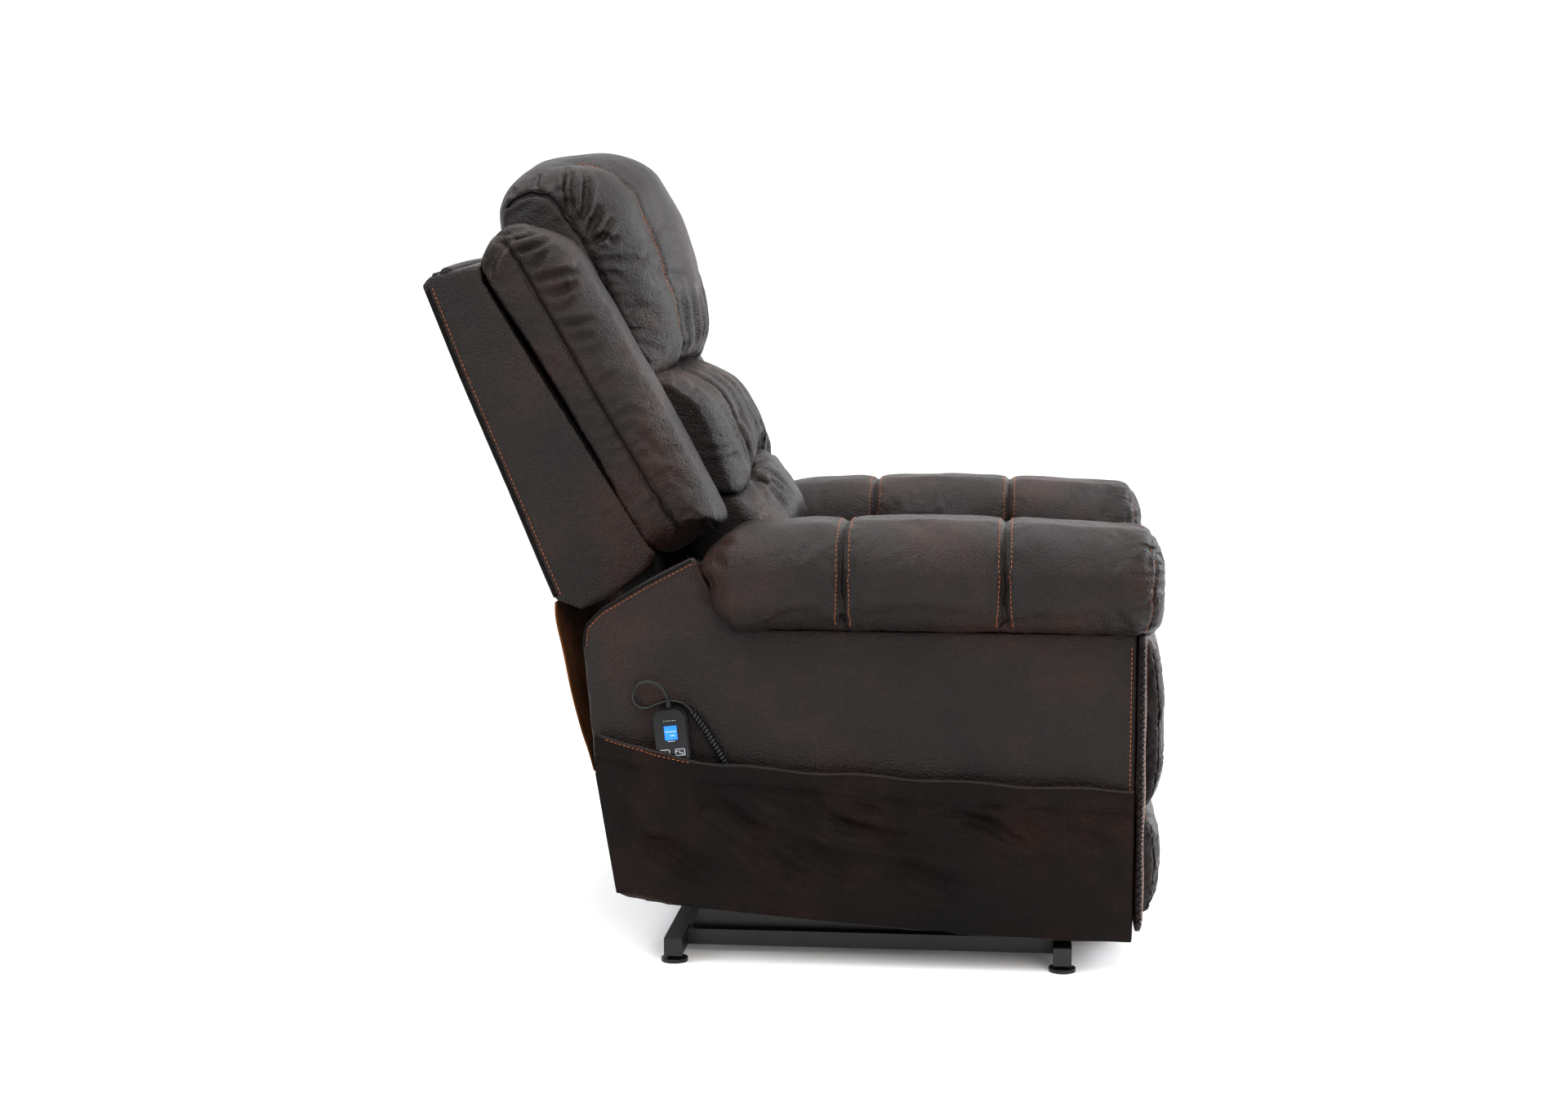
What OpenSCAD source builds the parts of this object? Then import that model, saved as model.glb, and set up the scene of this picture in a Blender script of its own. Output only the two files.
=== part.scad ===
// Electric lift recliner chair. The occupant faces -Y, +Z is up, the origin is on the floor at the middle.

/* [Body] */
// Clear width between the arms
seat_gap = 512; // [500:1:560]
// Width of each rolled arm pad
arm_roll_w = 190; // [180:1:200]
// Height of the top of the arm pads
arm_top = 612; // [600:1:625]
// Half of the distance between the two side panels' outer faces
panel_x = 410; // [405:1:412]
// Thickness of a padded side panel
panel_t = 12; // [8:1:14]

/* [Lift base] */
// Side of the square steel tube
tube = 25; // [20:1:25]
// Wall of the square steel tube
tube_wall = 2; // [1.5:0.5:3]
// Half length of a cross tube
cross_half = 412; // [400:1:415]
// Diameter of a levelling foot
foot_d = 37; // [30:1:40]
// Diameter of the main lift pins
lift_pin_d = 16; // [12:1:18]
// Diameter of the smaller pivot pins
pin_d = 12; // [10:1:14]
// Radial running clearance of a pin in its arm
running = 0.05; // [0.02:0.01:0.1]

/* [Back] */
// Half width of the back shell
shell_x = 335; // [325:1:338]
// Half width of the head pillow
head_x = 205; // [190:1:207]
// Width of a wing bolster
wing_w = 125; // [115:1:126]

/* [Handset] */
// Length of the handset
hand_len = 165; // [150:1:168]
// Width of the handset
hand_w = 47; // [44:1:50]
// Lean of the handset in the pocket, in degrees
hand_lean = 6; // [0:1:8]
// Diameter of the plain cord
cord_d = 5; // [4.5:0.5:5.5]
// Outer diameter of the curly cord
curl_d = 11; // [9:1:11]

/* [Hidden] */
$fn = 48;

// Colours
steel = "#161616";
zinc = "#8b8e92";
leather = "#2c1f1b";
leather_dark = "#231815";
plastic = "#1b1b1c";
plywood = "#b98f5e";

// Lift linkage, as [y, z]
rear_arm_base = [-325, 70];
rear_arm_body = [105, 95];
front_arm_base = [-398, 53];
front_arm_body = [-140, 60];
lift_motor_pivot = [140, 55];
lift_motor_crank = rear_arm_base + [40, 80];
front_tube_y = -379;
rear_tube_y = 156;
tube_z = 23;
rail_x = 345;
foot_x = 398;
bracket_x = 330;
rear_arm_x = 318;
front_arm_x = 306;
plate_x = 290;
plate_t = 8;
arm_t = 8;
side_gap = seat_gap / 2;

// Recline linkage
recline_pivot = [205, 400];
back_bar = recline_pivot + [5, -55];
back_crank = recline_pivot + [-10, -90];
back_motor_pivot = [-240, 240];
back_motor_x = 110;
lever_x = 272;

// Footrest linkage
foot_tube = [-300, 300];
link_len = 215;
foot_elbow = foot_tube + link_len * [cos(249.3), sin(249.3)];
foot_wrist = foot_elbow + link_len * [cos(110.7), sin(110.7)];
control_top = [-360, 370];
control_low = foot_elbow + 60 * [cos(110.7), sin(110.7)];
foot_crank = foot_tube + [15, -58];
foot_motor_pivot = [40, 220];
foot_motor_x = -110;
drive_x = 232;
extension_x = 240;
control_x = 248;
bracket_in_x = 224;
link_t = 5;
front_support = [-260, 338];
rear_support = [-20, 338];
low_support = [150, 160];

// Plane that carries the back's cushions: y at a height z
function board_y(z) = 192 + (z - 561) * 0.63;

// Side outlines, as [y, z] points
panel_outline = [
    [-474, 468], [-474, 42], [-267, 47], [-43, 62], [149, 78], [233, 92], [264, 263],
    [281, 443], [278, 471], [254, 494], [192, 532], [127, 566], [121, 558], [96, 512],
    [72, 482], [20, 468]
];
pad_notch = [
    [-487, 400], [-487, 470], [20, 470], [69, 484], [94, 514], [118, 558], [128, 576],
    [160, 620], [300, 620], [300, 400]
];
arm_frame_outer = [
    [-450, 60], [-40, 74], [205, 96], [222, 112], [250, 263], [266, 443], [262, 466],
    [180, 520], [128, 550], [116, 532], [90, 496], [60, 466], [10, 455], [-450, 455]
];
arm_frame_window = [[-420, 105], [-40, 112], [180, 135], [214, 300], [228, 425], [-420, 425]];
shell_outline = [
    [429, 937], [434, 959], [504, 944], [515, 931], [331, 494], [294, 480], [248, 502],
    [200, 540], [192, 561]
];
shell_cavity = [
    [150, 575], [197, 566], [207, 546], [251, 511], [293, 490], [318, 500], [502, 927],
    [497, 932], [420, 947], [380, 947], [300, 937]
];
wing_outline = [
    [428, 950], [428, 990], [420, 1004], [394, 1014], [371, 1015], [335, 1006], [303, 984],
    [258, 909], [191, 786], [123, 662], [97, 612], [100, 603], [135, 587], [190, 565]
];
head_outline = [
    [314, 1121], [264, 1110], [215, 1063], [184, 990], [172, 917], [169, 868], [171, 845],
    [182, 832], [204, 827], [335, 827], [440, 993], [445, 1040], [431, 1075], [390, 1102],
    [350, 1117]
];
middle_outline = [
    [348, 814], [172, 814], [150, 808], [129, 796], [98, 757], [80, 708], [75, 692],
    [88, 684], [264, 684]
];
lower_outline = [
    [260, 680], [86, 680], [70, 672], [55, 650], [36, 620], [14, 580], [10, 555], [20, 534],
    [50, 525], [165, 525], [186, 561]
];
seat_outline = [
    [-455, 410], [100, 410], [100, 500], [85, 512], [-250, 516], [-460, 514], [-480, 502],
    [-487, 486], [-482, 468], [-455, 466]
];
upper_pad_outline = [
    [-471, 190], [-471, 446], [-495, 447], [-508, 430], [-517, 384], [-521.5, 326],
    [-521, 256], [-514, 212], [-500, 190]
];
lower_pad_outline = [[-471, 36], [-471, 180], [-508, 180], [-517, 150], [-518, 110], [-513, 62], [-498, 36]];
flap_outline = [
    [334, 487], [332, 460], [322, 418], [311, 361], [289, 285], [280, 250], [276, 252],
    [285, 287], [307, 362], [318, 419], [328, 460], [330, 487]
];

// Storage pocket
pocket_outline = [
    [-472, 46], [-43, 66], [149, 82], [229, 95], [262, 263], [264, 320], [214, 308],
    [170, 298], [122, 289], [88, 285], [30, 278], [-54, 274], [-265, 265], [-472, 256]
];
pocket_skin = 3;

// Handset face
screen_z = 49;
button_w = 15;
button_h = 11;
function button_place(row, side) = [side * 10.5, 22 - row * 20];

// Handset cord: the plain stretch and then the curly one, as [x, y, z]
cord_route = [
    [-422, 160, 372], [-422, 162, 378], [-422, 168, 387], [-421, 178, 393], [-420, 189, 395],
    [-419, 199, 392], [-418, 206, 384], [-417, 209, 374], [-416, 206, 364], [-415, 198, 358],
    [-414, 188, 358], [-414, 176, 363], [-414, 162, 367], [-414, 148, 367], [-415, 136, 362],
    [-417, 127, 353]
];
curl_route = [
    [-417.5, 127, 353], [-417.5, 119, 343], [-417.5, 110, 331], [-417.5, 101, 317],
    [-417.5, 92, 302], [-417.5, 84, 287], [-417.5, 77, 272]
];

// A plate whose outline is given as [y, z], from x0 to x1
module plate(points, x0, x1) {
    translate([x0, 0, 0])
        rotate([90, 0, 90])
            linear_extrude(x1 - x0)
                polygon(points);
}

// The same plate on both sides of the chair
module both_sides() {
    children();
    mirror([1, 0, 0]) children();
}

// A round bar along X at p = [y, z]
module bar(p, r, x0, x1) {
    translate([x0, p[0], p[1]])
        rotate([0, 90, 0])
            cylinder(r = r, h = x1 - x0);
}

// A flat link from p to q from x0, with round ends and holes of radius ra at p and rb at q, 0 for none
module link(p, q, r, x0, t, ra, rb) {
    d = q - p;
    difference() {
        union() {
            bar(p, r, x0, x0 + t);
            bar(q, r, x0, x0 + t);
            translate([x0, p[0], p[1]])
                rotate([atan2(d[1], d[0]), 0, 0])
                    translate([0, 0, -r * 0.97])
                        cube([t, norm(d), 2 * r * 0.97]);
        }
        if (ra > 0) bar(p, ra, x0 - 1, x0 + t + 1);
        if (rb > 0) bar(q, rb, x0 - 1, x0 + t + 1);
    }
}

// A square tube along X or Y, hollow
module square_tube_x(x0, x1, y, z) {
    difference() {
        translate([x0, y - tube / 2, z - tube / 2])
            cube([x1 - x0, tube, tube]);
        translate([x0 - 1, y - tube / 2 + tube_wall, z - tube / 2 + tube_wall])
            cube([x1 - x0 + 2, tube - 2 * tube_wall, tube - 2 * tube_wall]);
    }
}

// Soft solid: an outline drawn along X whose ends are drawn in by "pull"
module cushion(points, x0, x1, pull = 8, step = 16) {
    module slab(inset, a, b) {
        translate([a, 0, 0])
            rotate([90, 0, 90])
                linear_extrude(b - a)
                    offset(r = 9, $fn = 16)
                        offset(delta = -9 - inset)
                            polygon(points);
    }
    slab(0, x0 + step, x1 - step);
    slab(pull, x0, x1);
}

// Rounded rectangle, w along x and h along y
module round_rect(w, h, r) {
    square([w - 2 * r, h], center = true);
    square([w, h - 2 * r], center = true);
    for (sx = [-1, 1], sy = [-1, 1])
        translate([sx * (w / 2 - r), sy * (h / 2 - r)])
            circle(r);
}

// ---- Base ----
module base_frame() {
    color(steel) {
        for (y = [front_tube_y, rear_tube_y])
            square_tube_x(-cross_half, cross_half, y, tube_z);
        both_sides() {
            translate([rail_x - 11, front_tube_y + tube / 2, tube_z - 11])
                cube([22, rear_tube_y - front_tube_y - tube, 22]);
            // Upright leg of the rail
            plate([[-299, 33], [-299, 47], [-43, 54], [125, 67], [140, 33]], rail_x - 10, rail_x - 7);
            // Pivot brackets welded on the rail and on the front tube
            difference() {
                plate([[-352, 34], [-352, 62], [-338, 88], [-312, 88], [-298, 62], [-298, 34]],
                      bracket_x, bracket_x + 8);
                bar(rear_arm_base, lift_pin_d / 2, 300, 360);
            }
            difference() {
                plate([[-391, 35.5], [-414, 40], [-416, 66], [-380, 68], [-367, 35.5]],
                      bracket_x, bracket_x + 8);
                bar(front_arm_base, pin_d / 2, 300, 360);
            }
            // Motor lugs
            difference() {
                plate([[125, 50], [130, 67], [150, 67], [168, 35.5], [144, 35.5]], 24, 30);
                bar(lift_motor_pivot, pin_d / 2, 20, 34);
            }
        }
    }
}

module leveling_feet() {
    color(plastic)
        for (x = [-foot_x, foot_x], y = [front_tube_y, rear_tube_y])
            translate([x, y, 0]) {
                cylinder(d = foot_d, h = 5);
                translate([0, 0, 5]) cylinder(d1 = foot_d, d2 = 16, h = 3);
                translate([0, 0, 8]) cylinder(d = 14, h = 2.5);
            }
}

module tube_end_caps() {
    color(plastic)
        for (x = [-1, 1], y = [front_tube_y, rear_tube_y])
            translate([x * (cross_half + 1.5), y, tube_z]) {
                cube([3, tube, tube], center = true);
                translate([-x * 6, 0, 0])
                    cube([10, tube - 2 * tube_wall - 0.2, tube - 2 * tube_wall - 0.2], center = true);
            }
}

module base_pivot_pins() {
    color(zinc) {
        both_sides() {
            bar(rear_arm_base, lift_pin_d / 2, rear_arm_x - 4, bracket_x + 12);
            bar(front_arm_base, pin_d / 2, front_arm_x - 4, bracket_x + 12);
        }
        bar(lift_motor_pivot, pin_d / 2, -33, 33);
    }
}

module power_supply() {
    color(plastic)
        difference() {
            translate([110, 118, 35.5]) cube([120, 74, 42]);
            // Mains inlet
            translate([150, 184, 46]) cube([24, 10, 16]);
        }
}

// ---- Lift linkage ----
module rear_lift_arms() {
    cross = rear_arm_base + [55, 4];
    color(steel) {
        both_sides() {
            link(rear_arm_base, rear_arm_body, 18, rear_arm_x, arm_t,
                 lift_pin_d / 2 + running, lift_pin_d / 2 + running);
            // Crank for the motor
            difference() {
                plate([[cross[0] - 16, cross[1]], [cross[0] + 16, cross[1]],
                       [lift_motor_crank[0] + 20, lift_motor_crank[1] + 4],
                       [lift_motor_crank[0] + 6, lift_motor_crank[1] + 20],
                       [lift_motor_crank[0] - 14, lift_motor_crank[1] + 18],
                       [lift_motor_crank[0] - 20, lift_motor_crank[1] - 2]], 16, 22);
                bar(lift_motor_crank, 10, 12, 26);
            }
        }
        bar(cross, 14, -rear_arm_x, rear_arm_x);
    }
}

// Outline of a flat bar of half width r along a bent line, with round ends
function side_of(a, b) = let (d = (b - a) / norm(b - a)) [-d[1], d[0]];
function ribbon_side(p, r) = [
    for (i = [1:len(p) - 2])
        let (m = side_of(p[i - 1], p[i]) + side_of(p[i], p[i + 1]))
            p[i] + m / (m * side_of(p[i - 1], p[i])) * r
];
function ribbon_end(c, from, r) = let (u = (c - from) / norm(c - from), v = [-u[1], u[0]])
    [for (k = [0:8]) c + r * (cos(22.5 * k) * -v + sin(22.5 * k) * u)];
function ribbon(p, r) = let (n = len(p)) concat(
    ribbon_end(p[n - 1], p[n - 2], r),
    [for (i = [n - 3:-1:0]) ribbon_side(p, r)[i]],
    ribbon_end(p[0], p[1], r),
    ribbon_side(p, -r)
);

// Bent upwards, so that it passes over the rear arms' cross tube all through the lift
module front_lift_arms() {
    path = [front_arm_base, front_arm_base + [48, 55], front_arm_body + [-54, 50], front_arm_body];
    color(steel)
        both_sides()
            difference() {
                plate(ribbon(path, 14), front_arm_x, front_arm_x + arm_t);
                bar(front_arm_base, pin_d / 2 + running, front_arm_x - 5, front_arm_x + arm_t + 5);
                bar(front_arm_body, pin_d / 2 + 4, front_arm_x - 5, front_arm_x + arm_t + 5);
            }
}

// ---- Linear motors ----
// Housing from pivot p towards q: a clevis eye, a gear case, the motor beside it and the rod's tube
module motor_housing(p, q, x, tube_len, side) {
    d = q - p;
    color(plastic)
        translate([x, p[0], p[1]])
            rotate([atan2(d[1], d[0]), 0, 0])
                difference() {
                    union() {
                        rotate([0, 90, 0]) translate([0, 0, -11]) cylinder(r = 14, h = 22);
                        translate([-11, 0, -14]) cube([22, 40, 28]);
                        translate([-23, 35, -26]) cube([46, 75, 52]);
                        translate([0, 108, 0]) rotate([-90, 0, 0]) cylinder(r = 17, h = tube_len - 108);
                        // Motor can lying along the tube, above or below it
                        translate([0, 60, side * 34]) rotate([-90, 0, 0]) cylinder(r = 21, h = 110);
                    }
                    rotate([0, 90, 0]) translate([0, 0, -20]) cylinder(d = pin_d + 2 * running, h = 40);
                    translate([0, 100, 0]) rotate([-90, 0, 0]) cylinder(r = 10 + running, h = tube_len);
                }
}

// Rod from inside the tube to q, with an eye and its short pin
module motor_rod(p, q, x, start) {
    d = q - p;
    color(zinc)
        translate([x, p[0], p[1]])
            rotate([atan2(d[1], d[0]), 0, 0]) {
                translate([0, start, 0]) rotate([-90, 0, 0]) cylinder(r = 10, h = norm(d) - start - 8);
                translate([-11, norm(d), 0]) rotate([0, 90, 0]) cylinder(r = 12, h = 22);
                translate([-13, norm(d), 0]) rotate([0, 90, 0]) cylinder(d = pin_d, h = 26);
            }
}

module lift_motor_housing() { motor_housing(lift_motor_pivot, lift_motor_crank, 0, 350, -1); }
module lift_motor_rod() { motor_rod(lift_motor_pivot, lift_motor_crank, 0, 180); }
module back_motor_housing() { motor_housing(back_motor_pivot, back_crank, back_motor_x, 330, -1); }
module back_motor_rod() { motor_rod(back_motor_pivot, back_crank, back_motor_x, 180); }
module footrest_motor_housing() { motor_housing(foot_motor_pivot, foot_crank, foot_motor_x, 250, 1); }
module footrest_motor_rod() { motor_rod(foot_motor_pivot, foot_crank, foot_motor_x, 150); }

// ---- Body steelwork ----
module mechanism_plates() {
    color(steel)
        both_sides()
            difference() {
                plate([[-380, 386], [-345, 392], [-240, 356], [80, 362], [170, 420], [230, 424],
                       [236, 385], [202, 250], [175, 130], [135, 75], [75, 72], [40, 112],
                       [-108, 114], [-116, 42], [-164, 42], [-172, 114], [-240, 250],
                       [-320, 270], [-386, 356]], plate_x, plate_x + plate_t);
                bar(rear_arm_body, lift_pin_d / 2, 280, 310);
                bar(front_arm_body, pin_d / 2, 280, 310);
                for (p = [foot_tube, control_top, recline_pivot]) bar(p, pin_d / 2, 280, 310);
            }
}

// Lugs that hang a motor from a cross tube
module motor_lugs(p, q, x) {
    for (s = [-1, 1])
        link(p, q, 14, x + s * 17 - 3, 6, 0, pin_d / 2);
}

module mechanism_cross_tubes() {
    color(steel) {
        for (p = [front_support, rear_support, low_support])
            bar(p, 12, -plate_x, plate_x);
        motor_lugs(front_support, back_motor_pivot, back_motor_x);
        motor_lugs(rear_support, foot_motor_pivot, foot_motor_x);
    }
}

module body_pivot_pins() {
    color(zinc) {
        both_sides() {
            bar(rear_arm_body, lift_pin_d / 2, plate_x - 3, rear_arm_x + 11);
            bar(front_arm_body, pin_d / 2, plate_x - 3, front_arm_x + 10.5);
            bar(foot_tube, pin_d / 2, plate_x - 30, plate_x + 11);
            bar(control_top, pin_d / 2, control_x - 2, plate_x + 11);
            bar(recline_pivot, pin_d / 2, lever_x - 3, plate_x + 11);
        }
        for (m = [[back_motor_pivot, back_motor_x], [foot_motor_pivot, foot_motor_x]])
            bar(m[0], pin_d / 2, m[1] - 23, m[1] + 23);
    }
}

module seat_frame() {
    color(plywood) {
        difference() {
            translate([-228, -440, 350.3]) cube([456, 543, 48]);
            translate([-206, -418, 340]) cube([412, 499, 70]);
        }
        // Rear board of the body, below the loose flap
        plate([[222, 98], [234, 98], [262, 250], [250, 250]], -368, 368);
    }
}

module seat_springs() {
    pitch = 82;
    turns = 14;
    run = 38;
    color(zinc)
        for (k = [-2:2])
            translate([k * pitch, -436, 398.6]) {
                for (i = [0:turns - 1])
                    translate([-24, i * run, 0]) cube([48, 4, 4]);
                for (i = [0:turns - 2])
                    translate([i % 2 == 0 ? -24 : 20, i * run, 0]) cube([4, run + 4, 4]);
            }
}

module seat_cushion() {
    color(leather) cushion(seat_outline, -side_gap + 6, side_gap - 6, 6);
}

// ---- Arms ----
module arm_frames() {
    color(plywood)
        both_sides() {
            difference() {
                plate(arm_frame_outer, 372, 396);
                plate(arm_frame_window, 371, 397);
            }
            translate([268, -451, 443]) cube([105, 455, 12]);
            translate([268, -472, 62]) cube([128, 21, 393]);
            plate([[128, 538], [128, 550], [262, 466], [262, 454]], 342, 396);
        }
}

module side_panel() {
    plate(panel_outline, panel_x - panel_t, panel_x);
}
module left_side_panel() { color(leather) side_panel(); }
module right_side_panel() { color(leather) mirror([1, 0, 0]) side_panel(); }

module arm_pad() {
    w = arm_roll_w;
    h = arm_top - 455;
    module section(y, shrink, drop) {
        translate([side_gap - 3 + w / 2, y, 455 + h / 2 - drop])
            rotate([90, 0, 0])
                linear_extrude(0.1)
                    offset(r = 60 - shrink, $fn = 32)
                        square([w - 120, h - 120], center = true);
    }
    difference() {
        hull() {
            section(-503.9, 26, 0);
            section(-494, 8, 0);
            section(-476, 0, 0);
            section(70, 0, 0);
            section(122, 40, 6);
        }
        plate(pad_notch, side_gap, panel_x + 1.5);
    }
}
module left_arm_pad() { color(leather) arm_pad(); }
module right_arm_pad() { color(leather) mirror([1, 0, 0]) arm_pad(); }

module arm_front_panels() {
    color(leather)
        both_sides()
            translate([side_gap + 1, -486, 60]) cube([panel_x - side_gap - 1, 11.5, 408]);
}

module inner_arm_panels() {
    color(leather)
        both_sides()
            translate([side_gap + 1, -450, 394]) cube([10, 560, 47]);
}

module pocket_solid() {
    wedge = [[-panel_x - 0.5, 30], [-panel_x - 10, 60], [-441, 195], [-441, 340], [-panel_x - 0.5, 340]];
    intersection() {
        plate(pocket_outline, -460, -panel_x - 0.5);
        translate([0, 300, 0]) rotate([90, 0, 0]) linear_extrude(800) polygon(wedge);
    }
}

module storage_pocket() {
    inner = [for (p = pocket_outline) [p[0] < -300 ? p[0] + pocket_skin : p[0] > 200 ? p[0] - pocket_skin - 1 : p[0],
                                       p[1] > 200 ? p[1] + 40 : p[1] + pocket_skin + 1]];
    wedge = [[-panel_x + 1, 40], [-panel_x - 10 + pocket_skin, 64], [-441 + pocket_skin, 195],
             [-441 + pocket_skin, 420], [-panel_x + 1, 420]];
    color(leather)
        difference() {
            pocket_solid();
            intersection() {
                plate(inner, -460, -panel_x + 1);
                translate([0, 300, 0]) rotate([90, 0, 0]) linear_extrude(800) polygon(wedge);
            }
        }
}

module rear_flap() {
    color(leather_dark) plate(flap_outline, -328, 328);
}

module control_box() {
    color(plastic) translate([155, -152, 300]) cube([68, 110, 50]);
}

// ---- Handset, with its cord ----
// Local frame: the back lies on x = 0, the face looks to -x, z runs along its length
module handset_place() {
    translate([-panel_x - 2.5, 150, 278])
        rotate([-hand_lean, 0, 0])
            children();
}

module hand_slab(x0, x1, w, h, r) {
    translate([x1, 0, 0])
        rotate([0, -90, 0])
            linear_extrude(x1 - x0)
                round_rect(h, w, r);
}

module handset_shell() {
    color(plastic)
        handset_place() {
            hand_slab(-2, 0, hand_w - 6, hand_len - 6, 14);
            hand_slab(-12, -2, hand_w, hand_len, 16);
        }
}

module handset_face() {
    color("#2b2c2e")
        handset_place()
            difference() {
                hand_slab(-19, -12.1, hand_w - 3, hand_len - 3, 15);
                translate([-20, -9, screen_z - 10]) cube([4, 18, 20]);
                for (row = [0:2], side = [-1, 1])
                    translate([-20, button_place(row, side)[0], button_place(row, side)[1]])
                        translate([3, 0, 0])
                            hand_slab(-4, 3, button_w + 1, button_h + 1, 3);
            }
}

module handset_screen() {
    color("#1f63d6")
        handset_place()
            translate([-18.4, -8.8, screen_z - 9.8]) cube([2.2, 17.6, 19.6]);
}

module hand_button(row, side) {
    color("#3b3d40")
        handset_place()
            translate([0, button_place(row, side)[0], button_place(row, side)[1]])
                hand_slab(-19.8, -17.9, button_w, button_h, 2.5);
}
module lift_up_button() { hand_button(0, -1); }
module lift_down_button() { hand_button(0, 1); }
module back_up_button() { hand_button(1, -1); }
module back_down_button() { hand_button(1, 1); }
module headrest_up_button() { hand_button(2, -1); }
module headrest_down_button() { hand_button(2, 1); }

module handset_cord_relief() {
    color(plastic)
        handset_place()
            translate([-9.5, 0, hand_len / 2])
                cylinder(r1 = 4.2, r2 = 3.2, h = 12);
}

module cord_gland() {
    color(plastic)
        translate([-panel_x - 12.5, 76, 268])
            rotate([0, 90, 0])
                cylinder(r = 8, h = 12.4);
}

// Smooth curve through points, and a tube swept along it
function curve_point(a, b, c, d, t) =
    0.5 * (2 * b + (c - a) * t + (2 * a - 5 * b + 4 * c - d) * t * t + (3 * b - 3 * c + d - a) * t * t * t);
function smooth(p, n) = let (last = len(p) - 1) [
    for (i = [0:last - 1], k = [0:n - 1])
        curve_point(p[max(i - 1, 0)], p[i], p[i + 1], p[min(i + 2, last)], k / n),
    p[last]
];
function unit(v) = v / norm(v);
module swept_tube(path, r, sides) {
    n = len(path);
    rings = [
        for (i = [0:n - 1])
            let (t = unit(path[min(i + 1, n - 1)] - path[max(i - 1, 0)]),
                 u = unit(cross(t, [1, 0.1, 0])), v = cross(t, u))
                for (k = [0:sides - 1])
                    path[i] + r * (cos(360 * k / sides) * u + sin(360 * k / sides) * v)
    ];
    walls = [
        for (i = [0:n - 2], k = [0:sides - 1])
            let (a = i * sides + k, b = i * sides + (k + 1) % sides)
                [a, b, b + sides, a + sides]
    ];
    caps = [[for (k = [sides - 1:-1:0]) k], [for (k = [0:sides - 1]) (n - 1) * sides + k]];
    polyhedron(rings, concat(walls, caps), convexity = 8);
}

module handset_cord() { color(plastic) swept_tube(smooth(cord_route, 2), cord_d / 2, 8); }
module handset_curly_cord() { color(plastic) swept_tube(curl_route, curl_d / 2, 10); }

// ---- Back ----
// Outline of a board parallel to the cushions' plane, from z0 to z1, between the depths a and b
function band(z0, z1, a, b) = [
    [board_y(z0) + a, z0], [board_y(z1) + a, z1], [board_y(z1) + b, z1], [board_y(z0) + b, z0]
];

module back_frame() {
    color(plywood) {
        both_sides() plate(band(566, 925, 3, 42), 281, 305);
        for (z = [650, 750, 880])
            plate(band(z, z + 40, 3, 24), -281.1, 281.1);
    }
}

module back_shell() {
    color(leather)
        difference() {
            plate(shell_outline, -shell_x, shell_x);
            plate(shell_cavity, -shell_x + 10, shell_x - 10);
            // Slots for the back levers
            both_sides() plate([[180, 470], [300, 470], [300, 590], [180, 590]], lever_x - 4, lever_x + plate_t + 4);
        }
}

module wing() { cushion(wing_outline, shell_x - 2 - wing_w, shell_x - 2, 10, 20); }
module left_wing_bolster() { color(leather) wing(); }
module right_wing_bolster() { color(leather) mirror([1, 0, 0]) wing(); }

module middle_pillow() { color(leather) cushion(middle_outline, -206, 206, 8); }
module lower_pillow() { color(leather) cushion(lower_outline, -206, 206, 8); }

module back_levers() {
    color(steel) {
        both_sides()
            difference() {
                plate([[194, 333], [226, 333], [230, 420], [258, 560], [283, 640], [246, 640],
                       [200, 560], [186, 440], [186, 390]], lever_x, lever_x + plate_t);
                bar(recline_pivot, pin_d / 2 + running, 260, 290);
            }
        bar(back_bar, 10, -lever_x, lever_x);
        for (s = [-1, 1])
            link(back_bar, back_crank, 13, back_motor_x + s * 17 - 3, 6, 0, 10);
    }
}

module headrest_board() {
    color(plywood)
        plate(band(834, 932, -14, -3), -195, 195);
}

module headrest_motor() {
    color(plastic)
        plate(band(850, 915, 44, 74), -45, 45);
}

module head_pillow() {
    color(leather)
        difference() {
            cushion(head_outline, -head_x, head_x, 12, 22);
            plate(band(815, 988, -16, 60), -head_x - 1, head_x + 1);
        }
}

// ---- Footrest ----
module footrest_drive_arms() {
    color(steel) {
        difference() {
            bar(foot_tube, 12, -plate_x + 1, plate_x - 1);
            bar(foot_tube, pin_d / 2 + running, plate_x - 32, plate_x + 10);
            bar(foot_tube, pin_d / 2 + running, -plate_x - 10, -plate_x + 32);
        }
        both_sides() {
            link(foot_tube, foot_elbow, 15, drive_x, link_t, 0, 0);
            bar(foot_elbow, pin_d / 2, drive_x + 1, extension_x + link_t + 2);
        }
        for (s = [-1, 1])
            difference() {
                plate([foot_tube + [-15, -2], foot_tube + [15, -2], foot_crank + [16, -3],
                       foot_crank + [10, -15], foot_crank + [-10, -15], foot_crank + [-16, -3]],
                      foot_motor_x + s * 17 - 3, foot_motor_x + s * 17 + 3);
                bar(foot_crank, 9, -200, 0);
            }
    }
}

module footrest_extension_links() {
    color(steel)
        both_sides() {
            link(foot_elbow, foot_wrist, 13, extension_x, link_t, pin_d / 2 + running, 0);
            bar(foot_wrist, pin_d / 2, bracket_in_x - 2, extension_x + link_t);
        }
}

module footrest_control_links() {
    color(steel)
        both_sides()
            difference() {
                plate([control_top + [-9, 12], control_top + [9, 12], control_top + [13, -4],
                       control_low + [13, 4], control_low + [8, -12], control_low + [-8, -12],
                       control_low + [-13, 4], control_top + [-13, -4]],
                      control_x, control_x + link_t);
                bar(control_top, pin_d / 2 + running, 200, 300);
                bar(control_low, 5, 200, 300);
            }
}

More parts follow.
